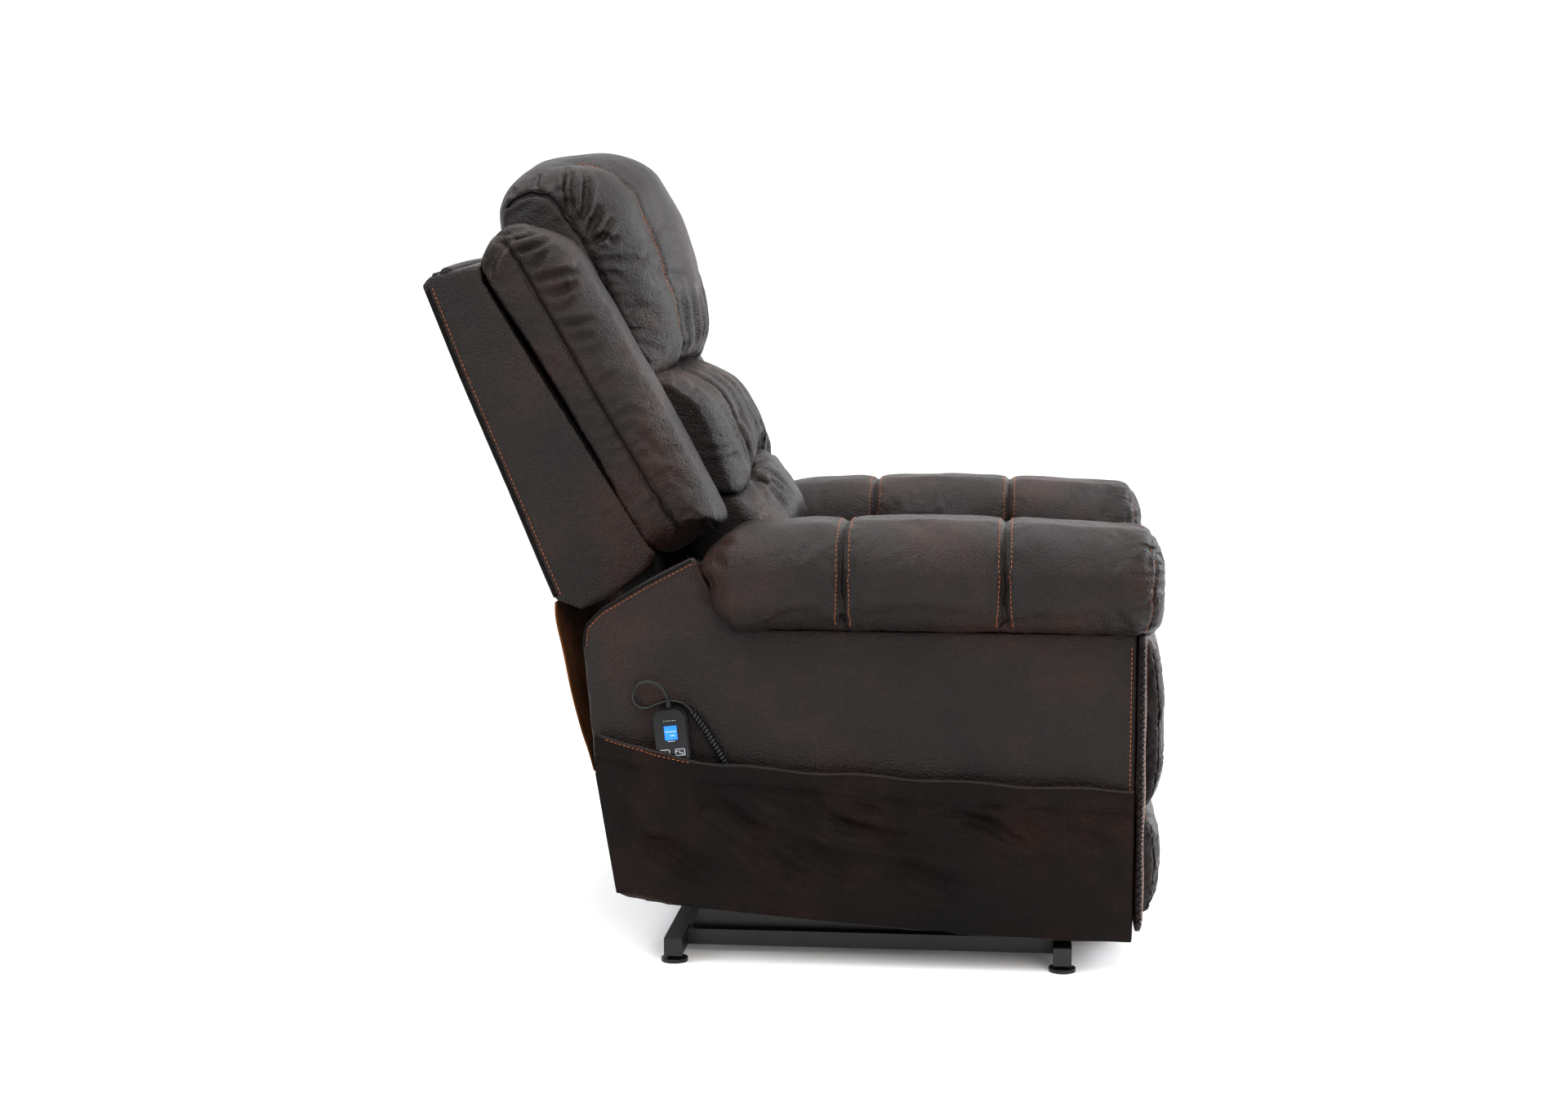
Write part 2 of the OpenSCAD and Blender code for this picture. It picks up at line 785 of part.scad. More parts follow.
module footrest_boards() {
    color(plywood) {
        translate([-240, -470.5, 200]) cube([480, 12, 240]);
        translate([-240, -470.5, 46]) cube([480, 12, 128]);
    }
    color(steel)
        both_sides()
            difference() {
                plate([[-458.5, 60], [-458.5, 404], [-447, 404], [-441.5, 346], [-434, 300], [-440, 60]],
                      bracket_in_x, bracket_in_x + link_t);
                bar(foot_wrist, pin_d / 2 + running, 200, 260);
            }
}

module upper_footrest_pad() { color(leather) cushion(upper_pad_outline, -248, 248, 5, 14); }
module lower_footrest_pad() { color(leather) cushion(lower_pad_outline, -248, 248, 5, 14); }

base_frame();
leveling_feet();
tube_end_caps();
base_pivot_pins();
power_supply();
rear_lift_arms();
front_lift_arms();
lift_motor_housing();
lift_motor_rod();
mechanism_plates();
mechanism_cross_tubes();
body_pivot_pins();
seat_frame();
seat_springs();
seat_cushion();
arm_frames();
left_side_panel();
right_side_panel();
left_arm_pad();
right_arm_pad();
arm_front_panels();
inner_arm_panels();
storage_pocket();
rear_flap();
control_box();
cord_gland();
handset_shell();
handset_face();
handset_screen();
lift_up_button();
lift_down_button();
back_up_button();
back_down_button();
headrest_up_button();
headrest_down_button();
handset_cord_relief();
handset_cord();
handset_curly_cord();
back_frame();
back_shell();
left_wing_bolster();
right_wing_bolster();
middle_pillow();
lower_pillow();
back_levers();
headrest_board();
headrest_motor();
head_pillow();
back_motor_housing();
back_motor_rod();
footrest_drive_arms();
footrest_extension_links();
footrest_control_links();
footrest_boards();
upper_footrest_pad();
lower_footrest_pad();
footrest_motor_housing();
footrest_motor_rod();
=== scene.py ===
# Lift recliner chair: leather, stitching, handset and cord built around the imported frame.
import math

import bpy
import numpy as np
from mathutils import Matrix, Vector
from mathutils.bvhtree import BVHTree


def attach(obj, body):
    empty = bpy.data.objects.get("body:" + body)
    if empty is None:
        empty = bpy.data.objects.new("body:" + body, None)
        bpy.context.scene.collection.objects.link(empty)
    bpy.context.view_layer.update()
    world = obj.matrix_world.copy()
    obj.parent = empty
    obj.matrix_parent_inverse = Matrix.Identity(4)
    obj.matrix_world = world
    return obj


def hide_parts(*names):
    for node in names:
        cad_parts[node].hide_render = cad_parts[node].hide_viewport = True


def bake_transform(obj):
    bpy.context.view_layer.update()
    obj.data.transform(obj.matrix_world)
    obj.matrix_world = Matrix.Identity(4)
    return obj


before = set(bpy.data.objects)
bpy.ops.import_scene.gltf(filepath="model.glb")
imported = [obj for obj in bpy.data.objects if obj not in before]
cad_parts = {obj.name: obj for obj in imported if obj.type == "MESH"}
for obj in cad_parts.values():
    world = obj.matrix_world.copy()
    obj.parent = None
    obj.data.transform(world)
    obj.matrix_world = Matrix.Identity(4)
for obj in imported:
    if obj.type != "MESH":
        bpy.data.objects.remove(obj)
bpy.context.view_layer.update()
mm = 0.001  # lengths below are in millimetres unless a name says otherwise
scene = bpy.context.scene


# colour and material helpers
def linear(hexColour, alpha=1.0):
    # sRGB hex to linear
    values = [int(hexColour[i:i + 2], 16) / 255 for i in (1, 3, 5)]
    return [v / 12.92 if v <= 0.04045 else ((v + 0.055) / 1.055) ** 2.4 for v in values] + [alpha]


def addNode(tree, kind, settings=None, links=None):
    # one node with its settings; links maps an input to (node, output)
    made = tree.nodes.new(kind)
    for key, value in (settings or {}).items():
        if isinstance(key, int) or key in made.inputs:
            made.inputs[key].default_value = value
        else:
            setattr(made, key, value)
    for key, (source, output) in (links or {}).items():
        tree.links.new(source.outputs[output], made.inputs[key])
    return made


def newMaterial(name, base, roughness, **sockets):
    material = bpy.data.materials.new(name)
    material.use_nodes = True
    shader = material.node_tree.nodes["Principled BSDF"]
    shader.inputs["Base Color"].default_value = linear(base)
    shader.inputs["Roughness"].default_value = roughness
    for key, value in sockets.items():
        shader.inputs[key.replace("_", " ")].default_value = value
    return material, material.node_tree, shader


def setRamp(ramp, stops):
    elements = ramp.color_ramp.elements
    while len(elements) < len(stops):
        elements.new(0.5)
    for element, (place, colour) in zip(elements, stops):
        element.position = place
        element.color = linear(colour) if isinstance(colour, str) else (colour, colour, colour, 1)


def leather(name, dark, mid, warm, pebble=3.0, depth=0.8, rough=(0.32, 0.48), shine=0.32):
    # Top-grain leather, drum-dyed and hand-burnished: brown shows through black, pebbles catch small lights.
    # Real pebbles are 1 to 1.5 mm; they are drawn at 3 mm so that they show.
    material, tree, shader = newMaterial(name, mid, 0.45, Coat_Weight=0.06, Coat_Roughness=0.30)
    shader.inputs["Specular IOR Level"].default_value = shine
    place = addNode(tree, "ShaderNodeTexCoord")
    cloud = addNode(tree, "ShaderNodeTexNoise", {"Scale": 7.0, "Detail": 5.0, "Roughness": 0.62},
                    {"Vector": (place, "Object")})
    burnish = addNode(tree, "ShaderNodeValToRGB", links={"Fac": (cloud, "Fac")})
    setRamp(burnish, [(0.30, dark), (0.50, mid), (0.66, warm), (0.80, mid)])
    bend = addNode(tree, "ShaderNodeTexNoise", {"Scale": 260.0, "Detail": 2.0}, {"Vector": (place, "Object")})
    jitter = addNode(tree, "ShaderNodeVectorMath", {"operation": "MULTIPLY_ADD", 1: (0.0022, 0.0022, 0.0022)},
                     {0: (bend, "Color"), 2: (place, "Object")})
    cells = addNode(tree, "ShaderNodeTexVoronoi",
                    {"feature": "SMOOTH_F1", "Scale": 1 / (pebble * mm), "Smoothness": 0.35},
                    {"Vector": (jitter, "Vector")})
    fine = addNode(tree, "ShaderNodeTexNoise", {"Scale": 900.0, "Detail": 3.0}, {"Vector": (place, "Object")})
    wrinkle = addNode(tree, "ShaderNodeTexNoise", {"Scale": 55.0, "Detail": 7.0, "Roughness": 0.7,
                                                   "Distortion": 1.2}, {"Vector": (place, "Object")})
    grain = addNode(tree, "ShaderNodeMath", {"operation": "MULTIPLY_ADD", 1: -1.0},
                    {0: (cells, "Distance"), 2: (fine, "Fac")})
    height = addNode(tree, "ShaderNodeMath", {"operation": "MULTIPLY_ADD", 1: 0.9},
                     {0: (wrinkle, "Fac"), 2: (grain, "Value")})
    bump = addNode(tree, "ShaderNodeBump", {"Strength": depth, "Distance": 0.0016}, {"Height": (height, "Value")})
    tree.links.new(bump.outputs["Normal"], shader.inputs["Normal"])
    # painted shade and light: the base colour is darkened in the pebbles' valleys and lightened on their tops
    valley = addNode(tree, "ShaderNodeMapRange", {"From Min": 0.15, "From Max": 0.8, "To Min": 1.15, "To Max": 0.5},
                     {"Value": (cells, "Distance")})
    toneAndPebbleShade = addNode(tree, "ShaderNodeMix", {"data_type": "RGBA", "blend_type": "MULTIPLY", 0: 1.0})
    tree.links.new(burnish.outputs["Color"], toneAndPebbleShade.inputs[6])
    tree.links.new(valley.outputs["Result"], toneAndPebbleShade.inputs[7])
    tree.links.new(toneAndPebbleShade.outputs[2], shader.inputs["Base Color"])
    gloss = addNode(tree, "ShaderNodeMapRange",
                    {"From Min": 0.3, "From Max": 0.7, "To Min": rough[0], "To Max": rough[1]},
                    {"Value": (wrinkle, "Fac")})
    tree.links.new(gloss.outputs["Result"], shader.inputs["Roughness"])
    return material


def mouldedAbs(name, base, rough, grit=0.6, depth=0.08):
    # Injection-moulded ABS with a spark-eroded texture: a dull, even sheen. Grit is drawn at 0.6 mm to show.
    material, tree, shader = newMaterial(name, base, rough)
    place = addNode(tree, "ShaderNodeTexCoord")
    spark = addNode(tree, "ShaderNodeTexNoise", {"Scale": 1 / (grit * mm), "Detail": 2.0},
                    {"Vector": (place, "Object")})
    tone = addNode(tree, "ShaderNodeTexNoise", {"Scale": 30.0, "Detail": 4.0}, {"Vector": (place, "Object")})
    bump = addNode(tree, "ShaderNodeBump", {"Strength": depth, "Distance": 0.0004}, {"Height": (spark, "Fac")})
    tree.links.new(bump.outputs["Normal"], shader.inputs["Normal"])
    handled = addNode(tree, "ShaderNodeMapRange", {"From Min": 0.35, "From Max": 0.65,
                                                   "To Min": rough - 0.06, "To Max": rough + 0.07},
                      {"Value": (tone, "Fac")})
    tree.links.new(handled.outputs["Result"], shader.inputs["Roughness"])
    return material


def powderCoat():
    # Steel tube, powder coated black: faint orange peel of about 2 mm, satin, slightly worn lighter.
    material, tree, shader = newMaterial("powderCoatedSteel", "#0d0d0e", 0.38, Metallic=0.0)
    place = addNode(tree, "ShaderNodeTexCoord")
    peel = addNode(tree, "ShaderNodeTexNoise", {"Scale": 500.0, "Detail": 2.0}, {"Vector": (place, "Object")})
    dust = addNode(tree, "ShaderNodeTexNoise", {"Scale": 22.0, "Detail": 6.0}, {"Vector": (place, "Object")})
    tone = addNode(tree, "ShaderNodeValToRGB", links={"Fac": (dust, "Fac")})
    setRamp(tone, [(0.35, "#0b0b0c"), (0.75, "#1a1a1b")])
    bump = addNode(tree, "ShaderNodeBump", {"Strength": 0.12, "Distance": 0.0006}, {"Height": (peel, "Fac")})
    tree.links.new(tone.outputs["Color"], shader.inputs["Base Color"])
    tree.links.new(bump.outputs["Normal"], shader.inputs["Normal"])
    return material


def zincPlated():
    # Bright zinc over turned steel: grey metal with a cloudy bloom.
    material, tree, shader = newMaterial("zincPlatedSteel", "#9a9da1", 0.34, Metallic=1.0)
    place = addNode(tree, "ShaderNodeTexCoord")
    bloom = addNode(tree, "ShaderNodeTexNoise", {"Scale": 60.0, "Detail": 5.0}, {"Vector": (place, "Object")})
    tone = addNode(tree, "ShaderNodeValToRGB", links={"Fac": (bloom, "Fac")})
    setRamp(tone, [(0.3, "#7d8084"), (0.7, "#b3b6ba")])
    gloss = addNode(tree, "ShaderNodeMapRange", {"To Min": 0.24, "To Max": 0.46}, {"Value": (bloom, "Fac")})
    tree.links.new(tone.outputs["Color"], shader.inputs["Base Color"])
    tree.links.new(gloss.outputs["Result"], shader.inputs["Roughness"])
    return material


def stainedPly():
    # Rotary-cut birch plywood, stained nearly black so that it doesn't show between the covers: long figure, dull.
    material, tree, shader = newMaterial("stainedBirchPlywood", "#1d130c", 0.62)
    place = addNode(tree, "ShaderNodeTexCoord")
    stretch = addNode(tree, "ShaderNodeMapping", {"Scale": (3.0, 40.0, 40.0)}, {"Vector": (place, "Object")})
    figure = addNode(tree, "ShaderNodeTexNoise", {"Scale": 2.2, "Detail": 8.0, "Distortion": 0.8},
                     {"Vector": (stretch, "Vector")})
    tone = addNode(tree, "ShaderNodeValToRGB", links={"Fac": (figure, "Fac")})
    setRamp(tone, [(0.3, "#130c08"), (0.55, "#1f140d"), (0.75, "#2b1d13")])
    bump = addNode(tree, "ShaderNodeBump", {"Strength": 0.1, "Distance": 0.0005}, {"Height": (figure, "Fac")})
    tree.links.new(tone.outputs["Color"], shader.inputs["Base Color"])
    tree.links.new(bump.outputs["Normal"], shader.inputs["Normal"])
    return material


def bondedThread():
    # Bonded nylon thread, copper orange: two plies twist round each other, a slight shine.
    material, tree, shader = newMaterial("bondedNylonThread", "#8a4a24", 0.6)
    place = addNode(tree, "ShaderNodeTexCoord")
    ply = addNode(tree, "ShaderNodeTexWave", {"Scale": 420.0, "Distortion": 2.0}, {"Vector": (place, "Object")})
    tone = addNode(tree, "ShaderNodeValToRGB", links={"Fac": (ply, "Fac")})
    setRamp(tone, [(0.2, "#6e3818"), (0.8, "#a86234")])
    tree.links.new(tone.outputs["Color"], shader.inputs["Base Color"])
    return material


def litScreen():
    # Backlit liquid crystal behind clear acrylic: an even blue with faint dot rows 0.7 mm apart.
    material, tree, shader = newMaterial("backlitScreen", "#1d6fe0", 0.12, Emission_Strength=0.55)
    shader.inputs["Emission Color"].default_value = linear("#1f74e8")
    place = addNode(tree, "ShaderNodeTexCoord")
    rows = addNode(tree, "ShaderNodeTexWave", {"bands_direction": "Z", "Scale": 1 / (0.7 * mm) / 6.28},
                   {"Vector": (place, "Object")})
    tone = addNode(tree, "ShaderNodeValToRGB", links={"Fac": (rows, "Fac")})
    setRamp(tone, [(0.0, "#175fc8"), (1.0, "#2f8bf5")])
    tree.links.new(tone.outputs["Color"], shader.inputs["Base Color"])
    return material


def plainPvc(name, base, rough):
    # Extruded flexible PVC jacket: smooth, faintly matt, with a slow unevenness along it.
    material, tree, shader = newMaterial(name, base, rough)
    place = addNode(tree, "ShaderNodeTexCoord")
    drag = addNode(tree, "ShaderNodeTexNoise", {"Scale": 240.0, "Detail": 3.0}, {"Vector": (place, "Object")})
    bump = addNode(tree, "ShaderNodeBump", {"Strength": 0.06, "Distance": 0.0003}, {"Height": (drag, "Fac")})
    tree.links.new(bump.outputs["Normal"], shader.inputs["Normal"])
    return material


materials = {
    "leather": leather("burnishedTopGrainLeather", "#110a08", "#1c110d", "#2f180f"),
    # painted shade: a near-black leather for the cords that draw the seams' shadow lines; also used for the laced
    # edge, the back lining and one side of the flap
    "weltAndSeamShade": leather("weltLeatherAndSeamShade", "#070403", "#0c0706", "#130a07", pebble=2.2, depth=0.3, shine=0.15),
    # painted shade: the pocket's leather is darker and less shiny than the rest, in place of the shade that falls on
    # the pocket
    "pocketShadeLeather": leather("pocketLeatherPaintedShade", "#0a0504", "#120905", "#24110a", rough=(0.28, 0.42),
                             shine=0.11),
    "backing": leather("suedeBacking", "#5a3417", "#7d4d25", "#96602f", pebble=1.8, depth=0.5, rough=(0.85, 0.95)),
    "coat": powderCoat(),
    "zinc": zincPlated(),
    "ply": stainedPly(),
    "thread": bondedThread(),
    "abs": mouldedAbs("mouldedBlackAbs", "#121213", 0.46),
    "handset": mouldedAbs("handsetShellAbs", "#17181a", 0.36, grit=0.5, depth=0.04),
    "fascia": mouldedAbs("handsetFasciaAbs", "#0c0d10", 0.22, grit=0.5, depth=0.02),
    "key": mouldedAbs("siliconeKey", "#22252a", 0.5, grit=0.5, depth=0.04),
    "ink": mouldedAbs("padPrintedWhiteInk", "#dfe3e8", 0.5, grit=0.5, depth=0.02),
    "screen": litScreen(),
    "cord": plainPvc("extrudedPvcJacket", "#101011", 0.42),
}
print("materials ready")


# mesh helpers
def smoothLoop(points, perSegment):
    # closed Catmull-Rom curve through the points
    p = np.array(points, float)
    n = len(p)
    t = np.arange(perSegment)[:, None] / perSegment
    parts = []
    for i in range(n):
        a, b, c, d = p[i - 1], p[i], p[(i + 1) % n], p[(i + 2) % n]
        parts.append(0.5 * (2 * b + (c - a) * t + (2 * a - 5 * b + 4 * c - d) * t ** 2
                            + (3 * b - 3 * c + d - a) * t ** 3))
    return np.vstack(parts)


def smoothPath(points, perSegment):
    # open Catmull-Rom curve through the points
    p = np.array(points, float)
    n = len(p)
    t = np.arange(perSegment)[:, None] / perSegment
    parts = []
    for i in range(n - 1):
        a, b, c, d = p[max(i - 1, 0)], p[i], p[i + 1], p[min(i + 2, n - 1)]
        parts.append(0.5 * (2 * b + (c - a) * t + (2 * a - 5 * b + 4 * c - d) * t ** 2
                            + (3 * b - 3 * c + d - a) * t ** 3))
    return np.vstack(parts + [p[-1:]])


def resample(path, step):
    # evenly spaced points along an open path, in the path's own units
    path = np.array(path, float)
    lengths = np.concatenate([[0], np.cumsum(np.linalg.norm(np.diff(path, axis=0), axis=1))])
    count = max(2, int(round(lengths[-1] / step)) + 1)
    at = np.linspace(0, lengths[-1], count)
    return np.stack([np.interp(at, lengths, path[:, k]) for k in range(path.shape[1])], axis=1)


def newPiece(name, vertices, faces, material, smooth=True):
    # vertices in millimetres
    mesh = bpy.data.meshes.new(name)
    mesh.from_pydata((np.array(vertices, float) * mm).tolist(), [], [list(map(int, f)) for f in faces])
    mesh.update()
    piece = bpy.data.objects.new(name, mesh)
    scene.collection.objects.link(piece)
    mesh.materials.append(material)
    mesh.polygons.foreach_set("use_smooth", [smooth] * len(mesh.polygons))
    return piece


def ringMesh(name, rings, material, capEnds=True):
    # rings of equal length joined into a closed tube, its ends closed on their middle
    n = len(rings[0])
    vertices = [tuple(v) for ring in rings for v in ring]
    faces = [(r * n + k, r * n + (k + 1) % n, (r + 1) * n + (k + 1) % n, (r + 1) * n + k)
             for r in range(len(rings) - 1) for k in range(n)]
    if capEnds:
        for r, flip in ((0, True), (len(rings) - 1, False)):
            vertices.append(tuple(np.mean(rings[r], axis=0)))
            middle = len(vertices) - 1
            for k in range(n):
                a, b = r * n + k, r * n + (k + 1) % n
                faces.append((b, a, middle) if flip else (a, b, middle))
    return newPiece(name, vertices, faces, material)


def bake(piece):
    # keeps the shape that the modifiers give and drops them
    bpy.context.view_layer.update()
    evaluated = piece.evaluated_get(bpy.context.evaluated_depsgraph_get())
    mesh = bpy.data.meshes.new_from_object(evaluated)
    piece.modifiers.clear()
    piece.data = mesh
    mesh.polygons.foreach_set("use_smooth", [True] * len(mesh.polygons))
    return piece


def modify(piece, kind, **settings):
    modifier = piece.modifiers.new(kind, kind)
    for key, value in settings.items():
        setattr(modifier, key, value)
    return modifier


def coordinates(piece):
    co = np.empty(len(piece.data.vertices) * 3)
    piece.data.vertices.foreach_get("co", co)
    return co.reshape(-1, 3) / mm


def normals(piece):
    n = np.empty(len(piece.data.vertices) * 3)
    piece.data.vertex_normals.foreach_get("vector", n)
    return n.reshape(-1, 3)


def setCoordinates(piece, co):
    piece.data.vertices.foreach_set("co", (co * mm).ravel())
    piece.data.update()


def remesh(piece, voxel, smoothing=4):
    modify(piece, "REMESH", mode="VOXEL", voxel_size=voxel * mm, use_smooth_shade=True)
    modify(piece, "SMOOTH", factor=0.5, iterations=smoothing)
    return bake(piece)


def refine(piece):
    modify(piece, "SUBSURF", levels=1, render_levels=1)
    return bake(piece)


def nearPath(co, path, step=3.0):
    # for each point: distance to the path, and how far along it the nearest place is
    points = resample(path, step)
    distance = np.full(len(co), 1e9)
    along = np.zeros(len(co))
    for start in range(0, len(co), 4000):
        part = co[start:start + 4000]
        gap = ((part[:, None, :] - points[None]) ** 2).sum(2)
        best = gap.argmin(1)
        distance[start:start + 4000] = np.sqrt(gap[np.arange(len(part)), best])
        along[start:start + 4000] = best * step
    return distance, along


def waves(co, size, seed):
    # smooth unevenness between -1 and 1, worked out from a few crossing sine waves
    rng = np.random.default_rng(seed)
    total = np.zeros(len(co))
    for _ in range(6):
        direction = rng.normal(size=3)
        direction /= np.linalg.norm(direction)
        total += np.sin(co @ direction * 2 * math.pi / (size * rng.uniform(0.7, 1.5)) + rng.uniform(0, 6.3))
    return total / 3.2


def inflate(piece, pressure, grow, cap, pins=(), pinReach=7.0, stiff=12.0, frames=20):
    # cloth under pressure: the cover swells between its pinned seams, and the spare cloth puckers there
    start = coordinates(piece)
    group = piece.vertex_groups.new(name="seams")
    held = np.zeros(len(start), bool)
    for path in pins:
        distance, _ = nearPath(start, path)
        held |= distance < pinReach
    group.add([int(i) for i in np.flatnonzero(held)], 1.0, "REPLACE")
    cloth = modify(piece, "CLOTH")
    settings = cloth.settings
    settings.quality = 5
    settings.mass = 0.25
    settings.tension_stiffness = stiff
    settings.compression_stiffness = stiff
    settings.shear_stiffness = stiff * 0.5
    settings.bending_stiffness = 0.6
    settings.use_pressure = True
    settings.uniform_pressure_force = pressure
    settings.shrink_min = -grow
    settings.effector_weights.gravity = 0.0
    settings.vertex_group_mass = "seams"
    cloth.collision_settings.use_collision = False
    for step in range(1, frames + 1):
        scene.frame_set(step)
    bake(piece)
    scene.frame_set(1)
    moved = coordinates(piece) - start
    length = np.maximum(np.linalg.norm(moved, axis=1, keepdims=True), 1e-6)
    setCoordinates(piece, start + moved * np.minimum(1.0, cap / length))
    return piece


def onto(piece, path):
    # the same path moved onto the piece's surface
    return layOn(surfaceOf(piece), resample(path, 4.0), 0.0)[0]


def groove(piece, path, depth, width):
    # presses the cover in along a path
    path = onto(piece, path)
    co = coordinates(piece)
    distance, _ = nearPath(co, path)
    setCoordinates(piece, co - normals(piece) * (depth * np.exp(-(distance / width) ** 2))[:, None])


def gather(piece, path, pitch, reach, depth, seed=1, window=None):
    # puckers that run away from a seam; window is the stretch of the seam that has them
    path = onto(piece, path)
    co = coordinates(piece)
    distance, along = nearPath(co, path)
    wander = waves(co, 60.0, seed)
    swing = np.sin(along * 2 * math.pi / pitch + 2.2 * wander)
    strength = depth * np.exp(-distance / reach) * (1 - np.exp(-distance / 3.0)) * (0.6 + 0.4 * waves(co, 45.0,
                                                                                                      seed + 9))
    if window:
        middle, spread = window
        strength = strength * np.exp(-((along - middle) / spread) ** 2)
    setCoordinates(piece, co + normals(piece) * (swing * strength)[:, None])


def crease(piece, path, depth, width, lip=0.4):
    # a soft fold: a valley with a raised lip on both sides
    path = onto(piece, path)
    co = coordinates(piece)
    distance, along = nearPath(co, path)
    total = max(along.max(), 1.0)
    fade = np.clip(np.minimum(along, total - along) / (0.3 * total), 0, 1) ** 0.7
    shape = -np.exp(-(distance / width) ** 2) + lip * np.exp(-((distance - 1.9 * width) / width) ** 2)
    setCoordinates(piece, co + normals(piece) * (depth * shape * fade)[:, None])


def uneven(piece, size, depth, seed):
    co = coordinates(piece)
    setCoordinates(piece, co + normals(piece) * (depth * waves(co, size, seed))[:, None])


def surfaceOf(piece):
    bpy.context.view_layer.update()
    return BVHTree.FromObject(piece, bpy.context.evaluated_depsgraph_get())


def layOn(surface, path, lift):
    # moves a path onto a surface and gives the normals there
    points, ups = [], []
    for p in path:
        place, normal, _, _ = surface.find_nearest(Vector(p) * mm)
        points.append(np.array(place) / mm + np.array(normal) * lift)
        ups.append(np.array(normal))
    return np.array(points), np.array(ups)


stitchSettings = {"pitch": 6.6, "length": 4.9, "radius": 0.62, "lift": 0.25}


def stitchRow(name, piece, paths, slant=0.0):
    # rows of real thread stitches, each a small capsule lying on the leather
    surface = surfaceOf(piece)
    vertices, faces = [], []
    s = stitchSettings
    for path in paths:
        points, ups = layOn(surface, resample(path, s["pitch"]), s["lift"])
        for i in range(len(points) - 1):
            tangent = points[i + 1] - points[i]
            size = np.linalg.norm(tangent)
            if size < 1e-6 or size > 2.5 * s["pitch"]:
                continue
            tangent /= size
            up = ups[i]
            across = np.cross(up, tangent)
            tangent = tangent * math.cos(slant) + across * math.sin(slant)
            across = np.cross(up, tangent)
            middle = (points[i] + points[i + 1]) / 2
            first = len(vertices)
            for offset, radius in ((-0.5, 0.25), (-0.32, 0.9), (0, 1.0), (0.32, 0.9), (0.5, 0.25)):
                for k in range(6):
                    a = k * math.pi / 3
                    rise = s["radius"] * radius
                    sink = -0.5 if abs(offset) > 0.4 else 0
                    vertices.append(middle + tangent * offset * s["length"] + across * math.cos(a) * rise
                                    + up * (math.sin(a) * rise + sink))
            for r in range(4):
                for k in range(6):
                    faces.append((first + r * 6 + k, first + r * 6 + (k + 1) % 6,
                                  first + (r + 1) * 6 + (k + 1) % 6, first + (r + 1) * 6 + k))
            faces.append(tuple(first + k for k in range(5, -1, -1)))
            faces.append(tuple(first + 24 + k for k in range(6)))
    return newPiece(name, vertices, faces, materials["thread"])


def sweep(name, path, radius, sides, material):
    # a round tube along a path; radius may be one number or one for each point
    path = np.array(path, float)
    n = len(path)
    radii = np.full(n, radius) if np.isscalar(radius) else np.array(radius)
    tangents = np.gradient(path, axis=0)
    tangents /= np.maximum(np.linalg.norm(tangents, axis=1, keepdims=True), 1e-9)
    side = np.cross(tangents[0], [0.3, 0.2, 1.0])
    rings = []
    for i in range(n):
        side = side - tangents[i] * (side @ tangents[i])
        side /= np.linalg.norm(side)
        other = np.cross(tangents[i], side)
        rings.append([path[i] + radii[i] * (math.cos(2 * math.pi * k / sides) * side
                                            + math.sin(2 * math.pi * k / sides) * other) for k in range(sides)])
    return ringMesh(name, rings, material)


# a near-black cord sunk into the cover along a seam: painted shade that draws the seam's shadow line
def seamShadeCord(name, piece, path, radius=0.9, sink=0.35, material="weltAndSeamShade"):
    points, _ = layOn(surfaceOf(piece), resample(path, 4.0), -sink)
    for _ in range(2):
        points[1:-1] = (points[:-2] + 2 * points[1:-1] + points[2:]) / 4
    return sweep(name, points, radius, 6, materials[material])


def mount(piece, body, replaced=(), children=()):
    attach(piece, body)
    if replaced:
        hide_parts(*replaced)
    for child in children:
        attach(child, body)
    return piece


def mirrored(piece, name):
    # the same piece on the other side of the chair
    copy = piece.copy()
    copy.data = piece.data.copy()
    copy.name = name
    for key in list(copy.keys()):
        del copy[key]  # it gets its own body
    scene.collection.objects.link(copy)
    copy.data.transform(Matrix.Scale(-1, 4, (1, 0, 0)))
    copy.data.flip_normals()
    return copy


def fromNode(node, name):
    # a free copy of a CAD solid, ready to be remeshed
    piece = bpy.data.objects.new(name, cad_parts[node].data.copy())
    scene.collection.objects.link(piece)
    piece.data.materials.clear()
    piece.data.materials.append(materials["leather"])
    return piece


def insetLoop(loop, distance):
    # a closed loop moved inwards and evened out
    along = np.roll(loop, -1, axis=0) - np.roll(loop, 1, axis=0)
    along /= np.maximum(np.linalg.norm(along, axis=1, keepdims=True), 1e-9)
    turn = np.sign(np.sum(loop[:, 0] * np.roll(loop[:, 1], -1) - loop[:, 1] * np.roll(loop[:, 0], -1)))
    inner = loop + np.column_stack([-along[:, 1], along[:, 0]]) * distance * turn
    for _ in range(12):
        inner = (np.roll(inner, 1, axis=0) + 2 * inner + np.roll(inner, -1, axis=0)) / 4
    return inner


def roundCrown(fullness):
    return lambda t: (1 - np.minimum(t, 1) ** fullness) ** (1 / fullness)


def pillow(name, middle, end, halfWidth, crown, rows=34, bulge=5.0):
    # crowned cushion: the dense outline at its middle fades to the one at its ends, as crown says
    rings = []
    heart = end.mean(axis=0)
    for k in (0.25, 0.55, 0.8, 0.93):
        rings.append((-halfWidth - bulge * (1 - k ** 2), heart + (end - heart) * k))
    for x in halfWidth * np.sin(np.linspace(-math.pi / 2, math.pi / 2, rows)):
        rings.append((x, end + (middle - end) * crown(abs(x / halfWidth))))
    for k in (0.93, 0.8, 0.55, 0.25):
        rings.append((halfWidth + bulge * (1 - k ** 2), heart + (end - heart) * k))
    return ringMesh(name, [np.column_stack([np.full(len(r), x), r]) for x, r in rings], materials["leather"])


